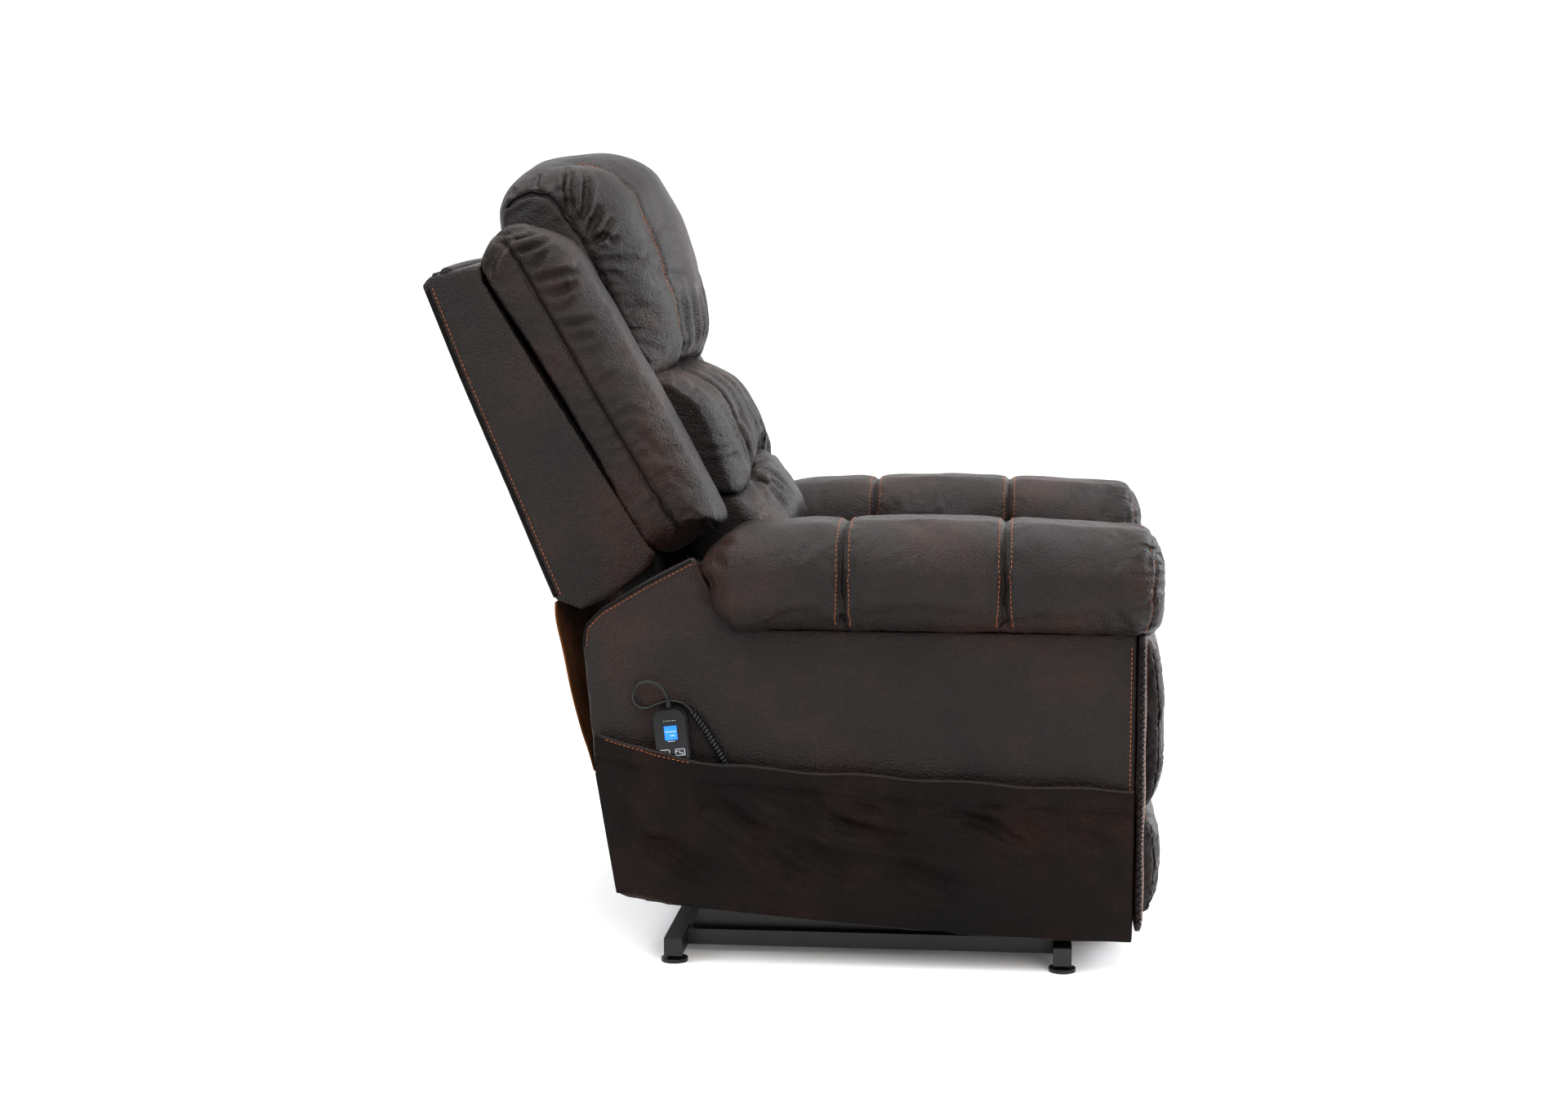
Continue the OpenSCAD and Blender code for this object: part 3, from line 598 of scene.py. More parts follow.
def toBack(points):
    # [y, z] to [height along the back, depth in front of its plane]
    p = np.array(points, float) - (192, 561)
    return np.column_stack([p[:, 0] * 0.533 + p[:, 1] * 0.846, -p[:, 0] * 0.846 + p[:, 1] * 0.533])


def fromBack(points):
    p = np.array(points, float)
    return np.column_stack([192 + p[:, 0] * 0.533 - p[:, 1] * 0.846, 561 + p[:, 0] * 0.846 + p[:, 1] * 0.533])


def widened(path, x):
    # a [y, z] path laid in the plane at that x
    return [(x, y, z) for y, z in path]


# steel, plastic and plywood of the frame
finishes = {
    "coat": ["base_frame", "rear_lift_arms", "front_lift_arms", "mechanism_plates", "mechanism_cross_tubes",
             "back_levers", "footrest_drive_arms", "footrest_extension_links", "footrest_control_links"],
    "zinc": ["base_pivot_pins", "body_pivot_pins", "seat_springs", "lift_motor_rod", "back_motor_rod",
             "footrest_motor_rod"],
    "ply": ["seat_frame", "arm_frames", "back_frame", "headrest_board", "footrest_boards"],
    "abs": ["leveling_feet", "tube_end_caps", "power_supply", "control_box", "cord_gland", "lift_motor_housing",
            "back_motor_housing", "footrest_motor_housing", "headrest_motor", "handset_cord_relief"],
    "handset": ["handset_shell"],
    "fascia": ["handset_face"],
    "screen": ["handset_screen"],
    "key": ["lift_up_button", "lift_down_button", "back_up_button", "back_down_button", "headrest_up_button",
            "headrest_down_button"],
}
edgeRounding = {"coat": 0.8, "ply": 1.0, "abs": 1.0, "handset": 1.2, "fascia": 0.6, "key": 0.5}
for finish, nodes in finishes.items():
    for node in nodes:
        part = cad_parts[node]
        part.data.materials.clear()
        part.data.materials.append(materials[finish])
        part.data.polygons.foreach_set("use_smooth", [True] * len(part.data.polygons))
        part.data.set_sharp_from_angle(angle=math.radians(32))
        if finish in edgeRounding:
            modify(part, "BEVEL", width=edgeRounding[finish] * mm, segments=2, limit_method="ANGLE",
                   angle_limit=math.radians(50), harden_normals=True)
print("frame finished")


# side panels
sidePanelSettings = {"face": 410.0, "crown": 4.0, "voxel": 4.5}
panelRearTop = [(281, 440), (279, 468), (256, 491), (194, 528), (130, 562)]
panelFront = [(-467, 48), (-467, 200), (-467, 330), (-467, 452)]


def makeSidePanels():
    s = sidePanelSettings
    panel = remesh(fromNode("right_side_panel", "rightSidePanel"), s["voxel"], 5)
    co = coordinates(panel)
    low = np.interp(co[:, 1], [-472, -267, -43, 149, 233], [42, 47, 62, 78, 92])
    inset = np.minimum.reduce([co[:, 1] + 474, co[:, 2] - low, 275 - co[:, 1], 470 - co[:, 2]])
    swell = s["crown"] * (1 - np.exp(-np.clip(inset, 0, None) / 22))
    outer = co[:, 0] < -s["face"] + 6
    co[outer, 0] -= swell[outer] - 2.5
    setCoordinates(panel, co)
    uneven(panel, 150, 0.9, 3)
    for path, depth in (([(126, 552), (108, 520), (98, 494)], 3.4), ([(170, 535), (140, 505), (108, 480)], 1.6),
                        ([(262, 470), (235, 440), (220, 400)], 1.5)):
        crease(panel, widened(path, -412), depth, 10)
    outside = -s["face"] - 2
    rows = [insetLine(panelRearTop, 6)]
    threads = stitchRow("rightPanelStitches", panel, [widened(r, outside) for r in rows])
    fronts = stitchRow("rightPanelFrontStitches", panel, [widened(panelFront, outside)])
    seam = seamShadeCord("rightPanelSeamShade", panel, widened(panelRearTop, outside), 2.0, 0.6)
    mount(panel, "seat_body", ["right_side_panel"], [threads, fronts, seam])
    for source, name, nodes in ((panel, "leftSidePanel", ["left_side_panel"]),
                                (threads, "leftPanelStitches", []), (fronts, "leftPanelFrontStitches", []),
                                (seam, "leftPanelSeamShade", [])):
        mount(mirrored(source, name), "seat_body", nodes)


def insetLine(path, distance):
    # an open [y, z] line moved to its left side as it runs
    p = np.array(path, float)
    along = np.gradient(p, axis=0)
    along /= np.linalg.norm(along, axis=1, keepdims=True)
    return p + np.column_stack([-along[:, 1], along[:, 0]]) * distance


makeSidePanels()
print("side panels made")


# rolled arm pads
armSettings = {"inner": 253.0, "outer": 443.0, "seams": (-79, -296), "swell": 3.2, "grow": 0.012, "cap": 3.5,
               "voxel": 5.0, "pressure": 4.0}


def armSection(y, lift=0.0):
    # half loop round the pad from its outer bottom edge over the top to its inner bottom edge
    s = armSettings
    top = np.interp(y, [-505, -482, -449, -405, -294, -183, -37, 20, 99],
                    [568, 593, 601, 605, 611, 612, 609, 607, 596])
    low = float(np.interp(y, [20, 73, 98, 125], [458, 486, 516, 560]))
    return [(-s["outer"] - lift, y, low), (-s["outer"] - lift, y, (low + top) / 2), (-s["outer"] + 14, y, top - 22),
            (-s["outer"] + 50, y, top), (-s["inner"] - 50, y, top), (-s["inner"] - 14, y, top - 22),
            (-s["inner"], y, (low + top) / 2), (-s["inner"], y, 460)]


def makeArmPads():
    s = armSettings
    pad = remesh(fromNode("right_arm_pad", "rightArmPad"), s["voxel"], 10)
    co = coordinates(pad)
    crest = np.interp(co[:, 1], [-505, -482, -449, -405, -294, -183, -37, 20, 99, 125],
                      [-12, -9, -8, -6, 0, 1, -2, -4, -14, -22])
    co[:, 2] += crest * np.clip((co[:, 2] - 520) / 92, 0, 1)
    setCoordinates(pad, co)
    seams = [armSection(y) for y in s["seams"]]
    front = [(-s["outer"] + 22, -492, 470), (-s["outer"] + 8, -494, 520), (-s["outer"] + 20, -493, 570),
             (-s["outer"] + 60, -492, 592), (-s["inner"] - 60, -492, 592), (-s["inner"] - 20, -493, 570),
             (-s["inner"] - 8, -494, 520), (-s["inner"] - 22, -492, 470)]
    floor = [[(-436, y, 461) for y in np.linspace(-470, 20, 30)], [(-262, y, 461) for y in np.linspace(-470, 60, 30)]]
    inflate(pad, s["pressure"], s["grow"], s["cap"], seams + [front] + floor, 6.0)
    refine(pad)
    co = coordinates(pad)
    gap = np.min([np.abs(co[:, 1] - y) for y in s["seams"]], axis=0)
    raised = s["swell"] * (1 - np.exp(-gap / 12)) * np.clip((co[:, 2] - 462) / 40, 0, 1)
    setCoordinates(pad, co + normals(pad) * (raised - 1.6)[:, None])
    for index, seam in enumerate(seams):
        groove(pad, seam, 3.2, 4.0)
        gather(pad, seam, 23, 16, 0.7, 20 + index)
    groove(pad, front, 2.6, 4.0)
    gather(pad, front, 17, 26, 2.6, 31)
    gather(pad, [(-440, y, 466) for y in np.linspace(-470, 10, 40)], 27, 16, 1.2, 41)
    for path in ([(-425, 112, 572), (-432, 95, 562), (-436, 70, 556)],
                 [(-400, 112, 590), (-410, 90, 588), (-420, 60, 580)]):
        crease(pad, path, 2.6, 7)
    uneven(pad, 70, 0.8, 5)
    rows = []
    for y in s["seams"]:
        rows += [armSection(y - 9), armSection(y + 9)]
    threads = stitchRow("rightArmStitches", pad, rows + [[(x, y + 8, z) for x, y, z in front]])
    cords = [seamShadeCord(f"rightArmSeam{i}", pad, seam, 1.3, 0.4) for i, seam in enumerate(seams + [front])]
    mount(pad, "seat_body", ["right_arm_pad"], [threads] + cords)
    mount(mirrored(pad, "leftArmPad"), "seat_body", ["left_arm_pad"],
          [mirrored(threads, "leftArmStitches")] + [mirrored(c, f"leftArmSeam{i}") for i, c in enumerate(cords)])


makeArmPads()
print("arm pads made")


# arm front panels and the panels inside the arms
frontPanelSettings = {"outer": 410.0, "inner": 257.0, "front": -486.0, "low": 60.0, "high": 468.0, "laceStep": 12.0}


def makeFrontPanels():
    s = frontPanelSettings
    panels = remesh(fromNode("arm_front_panels", "armFrontPanels"), 4.0, 4)
    co = coordinates(panels)
    inset = np.minimum.reduce([np.abs(co[:, 0]) - s["inner"], s["outer"] - np.abs(co[:, 0]), co[:, 2] - s["low"],
                               s["high"] + 30 - co[:, 2]])
    face = co[:, 1] < s["front"] + 5
    co[face, 1] -= 5.5 * (1 - np.exp(-np.clip(inset[face], 0, None) / 26)) - 1.5
    setCoordinates(panels, co)
    uneven(panels, 110, 0.7, 8)
    rows = []
    for side in (-1, 1):
        rows.append([(side * x, s["front"] - 2, z) for x, z in
                     ((s["outer"] - 9, 462), (s["outer"] - 9, 72), (s["inner"] + 9, 72), (s["inner"] + 9, 462))])
    threads = stitchRow("frontPanelStitches", panels, rows)
    # laced edge: slanting cross stitches up both outer corners, in a dark thread
    vertices, faces = [], []
    count = int((s["high"] - s["low"] - 16) / s["laceStep"])
    for side in (-1, 1):
        for i in range(count):
            z = s["low"] + 10 + i * s["laceStep"]
            for y0, y1 in ((-475.5, -485.0), (-485.0, -475.5)):
                a = np.array([side * (s["outer"] + 0.9), y0, z])
                b = np.array([side * (s["outer"] + 0.9), y1, z + s["laceStep"] * 0.8])
                first = len(vertices)
                along = (b - a) / np.linalg.norm(b - a)
                out = np.array([side, 0, 0.0])
                across = np.cross(along, out)
                for t, r in ((0, 0.4), (0.2, 1.0), (0.8, 1.0), (1, 0.4)):
                    for k in range(6):
                        angle = k * math.pi / 3
                        rim = math.cos(angle) * across + math.sin(angle) * out
                        vertices.append(a + (b - a) * t + 1.2 * r * rim)
                for r in range(3):
                    for k in range(6):
                        faces.append((first + r * 6 + k, first + r * 6 + (k + 1) % 6,
                                      first + (r + 1) * 6 + (k + 1) % 6,
                                      first + (r + 1) * 6 + k))
                faces.append(tuple(first + k for k in range(5, -1, -1)))
                faces.append(tuple(first + 18 + k for k in range(6)))
    lace = newPiece("lacedEdge", vertices, faces, materials["weltAndSeamShade"])
    mount(panels, "seat_body", ["arm_front_panels"], [threads, lace])
    inner = remesh(fromNode("inner_arm_panels", "innerArmPanels"), 4.0, 3)
    uneven(inner, 90, 0.5, 12)
    mount(inner, "seat_body", ["inner_arm_panels"])


makeFrontPanels()
print("front panels made")


# seat cushion
seatSettings = {"halfWidth": 248.0, "pressure": 4.0, "grow": 0.02, "cap": 10.0}
seatLine = [(-455, 412), (-180, 411), (98, 412), (99, 456), (98, 496), (84, 507), (-80, 512), (-250, 512),
            (-380, 512),
            (-456, 509), (-476, 498), (-483, 483), (-479, 466), (-470, 446)]


def makeSeat():
    s = seatSettings
    line = smoothLoop(seatLine, 5)
    seat = remesh(pillow("seatCushion", line, insetLoop(line, 16), s["halfWidth"], roundCrown(4.5), 40, 2.0), 6.5, 3)
    edge = [[(side * (s["halfWidth"] - 12), y, z) for y, z in ((80, 500), (-200, 502), (-450, 500), (-474, 480))]
            for side in (-1, 1)]
    inflate(seat, s["pressure"], s["grow"], s["cap"], edge + [[(x, -480, 470) for x in (-240, 0, 240)]], 9.0)
    co = coordinates(seat)
    over = co[:, 2] > 513 + 0 * co[:, 0]
    co[over, 2] = 513 + (co[over, 2] - 513) * 0.8
    co[:, 2] = np.maximum(co[:, 2], 409)
    co[:, 0] = np.clip(co[:, 0], -251, 251)
    setCoordinates(seat, co)
    refine(seat)
    for path in edge:
        groove(seat, path, 2.2, 4.0)
        gather(seat, path, 24, 26, 1.8, 51)
    weltAndSeamShade = [(x, -470, 452) for x in np.linspace(-244, 244, 40)]
    groove(seat, weltAndSeamShade, 2.0, 4.0)
    gather(seat, weltAndSeamShade, 30, 20, 1.3, 55)
    uneven(seat, 90, 1.0, 56)
    rows = [[(x, -480, 503) for x in np.linspace(-236, 236, 30)],
            [(x, -468, 508) for x in np.linspace(-236, 236, 30)]]
    threads = stitchRow("seatStitches", seat, rows)
    cords = [seamShadeCord(f"seatSeam{i}", seat, path, 1.6, 0.2) for i, path in enumerate(edge)]
    mount(seat, "seat_body", ["seat_cushion"], [threads] + cords)


makeSeat()
print("seat made")


# footrest pads
footPadSettings = {"halfWidth": 246.0, "puckerStep": 17.0}
upperPadLine = [(-472, 194), (-472, 320), (-472, 440), (-484, 446), (-495, 444), (-506, 429), (-514, 384),
                (-518, 326),
                (-517, 256), (-511, 214), (-499, 193), (-486, 190)]
lowerPadLine = [(-472, 38), (-472, 110), (-472, 176), (-490, 180), (-505, 178), (-513, 150), (-516, 112), (-511, 66),
                (-498, 38), (-485, 36)]


def makeFootPad(name, line, node, seed):
    s = footPadSettings
    dense = smoothLoop(line, 5)
    pad = remesh(pillow(name, dense, insetLoop(dense, 11), s["halfWidth"], roundCrown(5.0), 40, 2.0), 5.5, 3)
    ends = [[(side * (s["halfWidth"] - 5), y, z) for y, z in line[3:]] for side in (-1, 1)]
    inflate(pad, 3.0, 0.02, 6.0, ends, 6.0)
    co = coordinates(pad)
    co[:, 1] = np.clip(co[:, 1], -523, -470)
    co[:, 0] = np.clip(co[:, 0], -250, 250)
    setCoordinates(pad, co)
    refine(pad)
    for path in ends:
        groove(pad, path, 2.0, 3.5)
        gather(pad, path, s["puckerStep"], 30, 2.2, seed)
    uneven(pad, 80, 0.8, seed + 3)
    high = max(z for _, z in line)
    threads = stitchRow(name + "Stitches", pad, [[(x, -498, high - 3) for x in np.linspace(-235, 235, 30)]])
    cords = [seamShadeCord(f"{name}Seam{i}", pad, path, 1.2, 0.3) for i, path in enumerate(ends)]
    mount(pad, "footrest", [node], [threads] + cords)


makeFootPad("upperFootrestPad", upperPadLine, "upper_footrest_pad", 61)
makeFootPad("lowerFootrestPad", lowerPadLine, "lower_footrest_pad", 67)
print("footrest pads made")


# back shell
shellSettings = {"halfWidth": 335.0, "arch": 16.0, "weltAndSeamShade": 3.4}
shellRearEdge = [(331, 498), (376, 605), (421, 711), (466, 818), (508, 926)]


def makeShell():
    s = shellSettings
    shell = remesh(fromNode("back_shell", "backShell"), 4.5, 4)
    co = coordinates(shell)
    co[:, 2] += s["arch"] * (1 - (co[:, 0] / s["halfWidth"]) ** 2) * np.clip((co[:, 2] - 880) / 70, 0, 1)
    setCoordinates(shell, co)
    uneven(shell, 160, 1.3, 71)
    cords, rows = [], []
    for side in (-1, 1):
        x = side * s["halfWidth"]
        cords.append(seamShadeCord(f"shellSeamShade{side}", shell, widened(shellRearEdge, x), s["weltAndSeamShade"], 0.4))
        rows.append(widened(insetLine(shellRearEdge, 9), x))
        gather(shell, widened(shellRearEdge, x), 34, 26, 1.0, 72)
    top = [(x, 498, 948 + s["arch"] * (1 - (x / s["halfWidth"]) ** 2)) for x in np.linspace(-330, 330, 40)]
    roll = sweep("shellTopRoll", [(x, 480, z - 1) for x, _, z in top], 9.0, 14, materials["leather"])
    cords += [roll, seamShadeCord("shellTopSeamShade", shell, top, s["weltAndSeamShade"], 0.2)]
    threads = stitchRow("shellStitches", shell, rows)
    mount(shell, "backrest", ["back_shell"], [threads] + cords)


makeShell()
print("back shell made")


# wing bolsters
wingSettings = {"middle": 270.5, "halfWidth": 60.5, "pressure": 4.0, "grow": 0.02, "cap": 5.5, "round": 36.0,
                "voxel": 5.5, "widest": 340}
wingLine = [(429, 952), (427, 986), (417, 1001), (394, 1010), (371, 1011), (337, 1002), (306, 980), (262, 906),
            (229, 847), (195, 786), (161, 724), (127, 662), (102, 616), (103, 601), (135, 586), (190, 564),
            (268, 696), (350, 828)]
wingSeam = [(414, 1003), (399, 996), (382, 970), (364, 938), (336, 890), (290, 810), (248, 738), (200, 660),
            (152, 586)]


def makeWings():
    s = wingSettings
    middle = smoothLoop(wingLine, 6)
    end = toBack(insetLoop(middle, s["round"]))
    end[:, 1] -= 45 * np.clip((76 - end[:, 1]) / 40, 0, 1)  # square at the shell, round in front
    across = toBack(middle)
    across[:, 1] -= 6 * np.clip((30 - across[:, 1]) / 30, 0, 1)
    wing = pillow("rightWingBolster", fromBack(across), fromBack(end), s["halfWidth"], roundCrown(2.3), 30, 3.0)
    wing.data.transform(Matrix.Translation((-s["middle"] * mm, 0, 0)))
    remesh(wing, s["voxel"], 2)
    outer = -s["middle"] - s["halfWidth"]
    seam = widened(wingSeam, outer)
    innerSeam = widened(wingSeam, -s["middle"] + s["halfWidth"])
    rear = [[(x, y, z) for y, z in ((192, 572), (268, 696), (350, 828), (428, 950))] for x in (-325, -270, -220)]
    inflate(wing, s["pressure"], s["grow"], s["cap"], [seam, innerSeam] + rear, 6.0)
    refine(wing)
    co = coordinates(wing)
    co[:, 0] = np.maximum(co[:, 0], -s["widest"])
    setCoordinates(wing, co)
    for path, seed in ((seam, 81), (innerSeam, 82)):
        side = path[0][0]
        # the front half stands higher than the rear one at the top
        groove(wing, path, 4.6, 4.2)
        gather(wing, path, 26, 30, 1.4, seed + 5, (420, 200))
        inward = 1 if side < -270 else -1
        for index in range(8):
            at = 476 - 24 * index
            reach = (46, 58, 40, 62, 50, 36, 44, 30)[index]
            start = fromBack([(at + 4, 57), (at - 6, 57 + reach * 0.55), (at - 16 + 9 * (index % 3), 57 + reach)])
            crease(wing, [(side + inward * dx, y, z) for dx, (y, z) in zip((0, 6, 20), start)],
                   (4.4, 5.2, 3.4, 4.8, 3.8, 2.8, 3.0, 2.0)[index], 5.0, 0.5)
        crease(wing, [(side, 399, 1001), (side, 414, 971), (side, 427, 938)], 5.0, 7.0, 0.6)
    for x in (-312, -292, -270, -248, -228):
        crease(wing, [(x, 415, 1001), (x - 3, 394, 1008), (x + 2, 366, 1008)], 3.2, 5.0, 0.7)
    gather(wing, [(x, 112, 600) for x in np.linspace(-325, -215, 20)], 17, 26, 3.0, 93)
    groove(wing, [(x, 118, 592) for x in np.linspace(-328, -212, 20)], 3.0, 5.0)
    uneven(wing, 90, 1.4, 95)
    cord = seamShadeCord("rightWingSeam", wing, seam[1:], 1.5, 0.1)
    mount(wing, "backrest", ["right_wing_bolster"], [cord])
    mount(mirrored(wing, "leftWingBolster"), "backrest", ["left_wing_bolster"],
          [mirrored(cord, "leftWingSeam")])


makeWings()
print("wing bolsters made")


# lower and middle pillows, tufted at their common seam
tuftSettings = {"halfWidth": 205.0, "widest": 206.5, "pressure": 4.0, "grow": 0.02, "cap": 8.0, "line": 112.0,
                "sag": 50.0, "tuck": 26.0, "voxel": 5.5}
middleLine = [(345, 812), (250, 818), (190, 822), (164, 815), (147, 805), (128, 791), (104, 756), (86, 718),
              (74, 692), (78, 681), (104, 676), (160, 680), (262, 685), (303, 748)]
lowerLine = [(255, 680), (170, 681), (100, 680), (78, 677), (64, 668), (44, 642), (26, 612), (14, 578), (14, 552),
             (26, 537), (60, 527), (160, 528), (190, 566)]
tuftCrown = ([0, 0.25, 0.4, 0.5, 0.56, 0.64, 0.76, 0.87, 0.95, 1.0],
             [1, 0.985, 0.95, 0.82, 0.72, 0.78, 0.78, 0.64, 0.40, 0])
middleFolds = [([(112, 186, 805), (112, 160, 795), (112, 142, 781), (112, 121, 751), (112, 108, 721), (112, 101, 680),
                 (112, 95, 652)], 7.0, 7.5),
               ([(150, 195, 790), (152, 165, 768), (150, 140, 738), (146, 122, 706), (138, 110, 672)], 3.0, 12.0),
               ([(40, 162, 803), (36, 136, 781), (34, 115, 751), (36, 103, 720), (52, 101, 691), (78, 98, 668)], 4.5,
                7.0),
               ([(74, 165, 802), (70, 140, 780), (70, 118, 748), (78, 106, 715), (92, 100, 682)], 3.0, 6.0),
               ([(-2, 104, 752), (4, 92, 722), (26, 86, 694)], 2.6, 7.0)]
lowerFolds = [([(112, 93, 648), (108, 75, 630), (102, 57, 610), (96, 40, 590)], 5.0, 9.0),
              ([(104, 90, 650), (78, 74, 648), (50, 50, 636), (36, 30, 610)], 4.5, 7.0),
              ([(106, 88, 646), (84, 60, 628), (66, 38, 600)], 4.0, 7.0),
              ([(118, 92, 644), (140, 80, 622), (150, 66, 596)], 3.2, 9.0),
              ([(100, 92, 652), (70, 80, 662), (30, 68, 664)], 3.0, 6.0)]


def makeTufted(name, line, node, seed, folds, sagWeight):
    s = tuftSettings
    dense = smoothLoop(line, 6)
    end = insetLoop(dense, s["tuck"])
    end[:, 1] = dense[:, 1] + 0.3 * (end[:, 1] - dense[:, 1])  # the two pillows stay shut at their common seam
    piece = pillow(name, dense, end, s["halfWidth"], lambda t: np.interp(t, *tuftCrown), 56, 8.0)
    co = coordinates(piece)
    towardsEnd = np.clip(np.abs(co[:, 0]) / 190, 0, 1) ** 1.3
    co[:, 2] -= s["sag"] * towardsEnd * sagWeight(co[:, 2]) * np.clip((260 - co[:, 1]) / 90, 0, 1)
    setCoordinates(piece, co)
    remesh(piece, s["voxel"], 4)
    rear = [[(x, y, z) for x in np.linspace(-200, 200, 60)] for y, z in line if y > 165]
    tufts = [[(side * s["line"], y, z) for _, y, z in folds[0][0]] for side in (-1, 1)]
    inflate(piece, s["pressure"], s["grow"], s["cap"], tufts + rear, 7.0)
    co = coordinates(piece)
    co[:, 0] = np.clip(co[:, 0], -s["widest"], s["widest"])
    setCoordinates(piece, co)
    refine(piece)
    for path, depth, width in folds:
        for side in (-1, 1):
            crease(piece, [(side * x, y, z) for x, y, z in path], depth, width, 0.5)
    for side in (-1, 1):
        gather(piece, [(side * 200, y, z) for y, z in line[2:9]], 24, 30, 1.6, seed)
    uneven(piece, 80, 1.2, seed + 4)
    mount(piece, "backrest", [node])


makeTufted("lowerPillow", lowerLine, "lower_pillow", 101, lowerFolds, lambda z: np.clip((z - 560) / 70, 0, 1))
makeTufted("middlePillow", middleLine, "middle_pillow", 111, middleFolds,
           lambda z: 0.5 + 0.5 * np.clip((765 - z) / 80, 0, 1))
print("back pillows made")


# head pillow
headSettings = {"halfWidth": 204.0, "widest": 208, "pressure": 4.0, "grow": 0.018, "cap": 6.5, "line": 112.0,
                "voxel": 5.5, "pleat": 0.66}
headLine = [(250, 1104), (288, 1118), (330, 1120), (390, 1111), (434, 1086), (449, 1048), (438, 995), (388, 914),
            (338, 832), (268, 824), (206, 820), (180, 822), (170, 838), (170, 875), (176, 930), (189, 990),
            (218, 1060)]
headEnd = [(352, 1055), (366, 1061), (380, 1064), (397, 1060), (414, 1052), (424, 1034), (419, 992), (376, 918),
           (330, 848), (280, 832), (226, 822), (218, 828), (219, 840), (240, 868), (262, 898), (303, 984),
           (328, 1022)]
headSeam = [(422, 1046), (397, 1060), (378, 1064), (357, 1057), (328, 1022), (303, 984), (281, 940), (262, 896),
            (240, 852), (221, 822)]
headCrown = ([0, 0.2, 0.38, 0.48, 0.55, 0.63, 0.75, 0.86, 0.94, 1.0],
             [1, 0.985, 0.90, 0.80, 0.735, 0.72, 0.62, 0.45, 0.24, 0])
headStitchLine = [(332, 1112), (280, 1084), (238, 1022), (214, 968), (202, 900), (206, 845), (226, 812)]
# deep pleats that fan out from the seam's top corner: path, depth, width
headPleats = [([(203, 328, 1022), (188, 333, 1058), (150, 342, 1096)], 9.0, 6.5),
              ([(203, 318, 1010), (184, 312, 1042), (152, 322, 1082)], 7.0, 5.5),
              ([(203, 304, 986), (188, 301, 1012), (165, 302, 1041)], 8.0, 6.0),
              ([(203, 301, 984), (188, 290, 1000), (165, 281, 1023)], 6.5, 5.0),
              ([(203, 301, 982), (186, 286, 990), (160, 276, 996)], 5.5, 5.0),
              ([(203, 378, 1064), (190, 382, 1079), (172, 378, 1090)], 5.5, 5.0),
              ([(203, 352, 1052), (192, 344, 1064), (176, 342, 1078)], 4.5, 5.0),
              ([(203, 408, 1055), (194, 416, 1066), (180, 418, 1074)], 3.0, 5.0),
              ([(203, 292, 964), (190, 278, 966), (172, 266, 962)], 3.2, 5.0),
              ([(203, 283, 946), (190, 268, 944), (174, 256, 936)], 2.4, 5.0)]
headFolds = [([(20, 172, 930), (14, 172, 890), (2, 174, 850)], 4.0, 8.0),
             ([(52, 182, 950), (48, 180, 900), (40, 184, 850)], 4.5, 8.0),
             ([(80, 192, 930), (76, 190, 885), (70, 194, 845)], 3.5, 7.0),
             ([(-24, 172, 920), (-20, 172, 880), (-14, 174, 845)], 3.6, 8.0),
             ([(-60, 182, 940), (-58, 182, 890), (-52, 186, 845)], 4.0, 8.0),
             ([(-92, 196, 925), (-90, 194, 880), (-86, 198, 842)], 3.2, 7.0)]


def makeHeadPillow():
    s = headSettings
    crown = lambda t: np.interp(t, *headCrown)
    head = pillow("headPillow", smoothLoop(headLine, 6), smoothLoop(headEnd, 6), s["halfWidth"], crown, 60, 3.0)
    co = coordinates(head)
    co[:, 2] -= 26 * np.clip(np.abs(co[:, 0]) / 200, 0, 1) ** 2 * np.clip((930 - co[:, 2]) / 100, 0, 1)
    setCoordinates(head, co)
    remesh(head, s["voxel"], 3)
    seams = [widened(headSeam, side * s["halfWidth"]) for side in (-1, 1)]
    lines = [widened(headStitchLine, side * s["line"]) for side in (-1, 1)]
    rear = [[(x, y, z) for x in np.linspace(-190, 190, 60)] for y,
            z in ((425, 1050), (438, 1000), (388, 914), (340, 838))]
    inflate(head, s["pressure"], s["grow"], s["cap"], seams + lines + rear, 6.0)
    co = coordinates(head)
    co[:, 0] = np.clip(co[:, 0], -s["widest"], s["widest"])
    setCoordinates(head, co)
    refine(head)
    for path in seams:
        groove(head, path, 4.6, 4.2)
    for side in (-1, 1):
        for path, depth, width in headPleats:
            crease(head, [(side * x, y, z) for x, y, z in path], depth * s["pleat"], width, 0.55)
    for path in seams:
        gather(head, path, 30, 26, 1.6, 121, (330, 130))
    for path in lines:
        groove(head, path, 3.2, 5.0)
    for path, depth, width in headFolds:
        crease(head, path, depth, width, 0.6)
    uneven(head, 95, 1.6, 131)
    rows = [[(x + offset, y, z) for x, y, z in path] for path in lines for offset in (-5, 5)]
    threads = stitchRow("headStitches", head, rows)
    cords = [seamShadeCord(f"headSeam{i}", head, path, 1.5, 0.1) for i, path in enumerate(seams)]
    mount(head, "headrest", ["head_pillow"], [threads] + cords)


makeHeadPillow()
print("head pillow made")


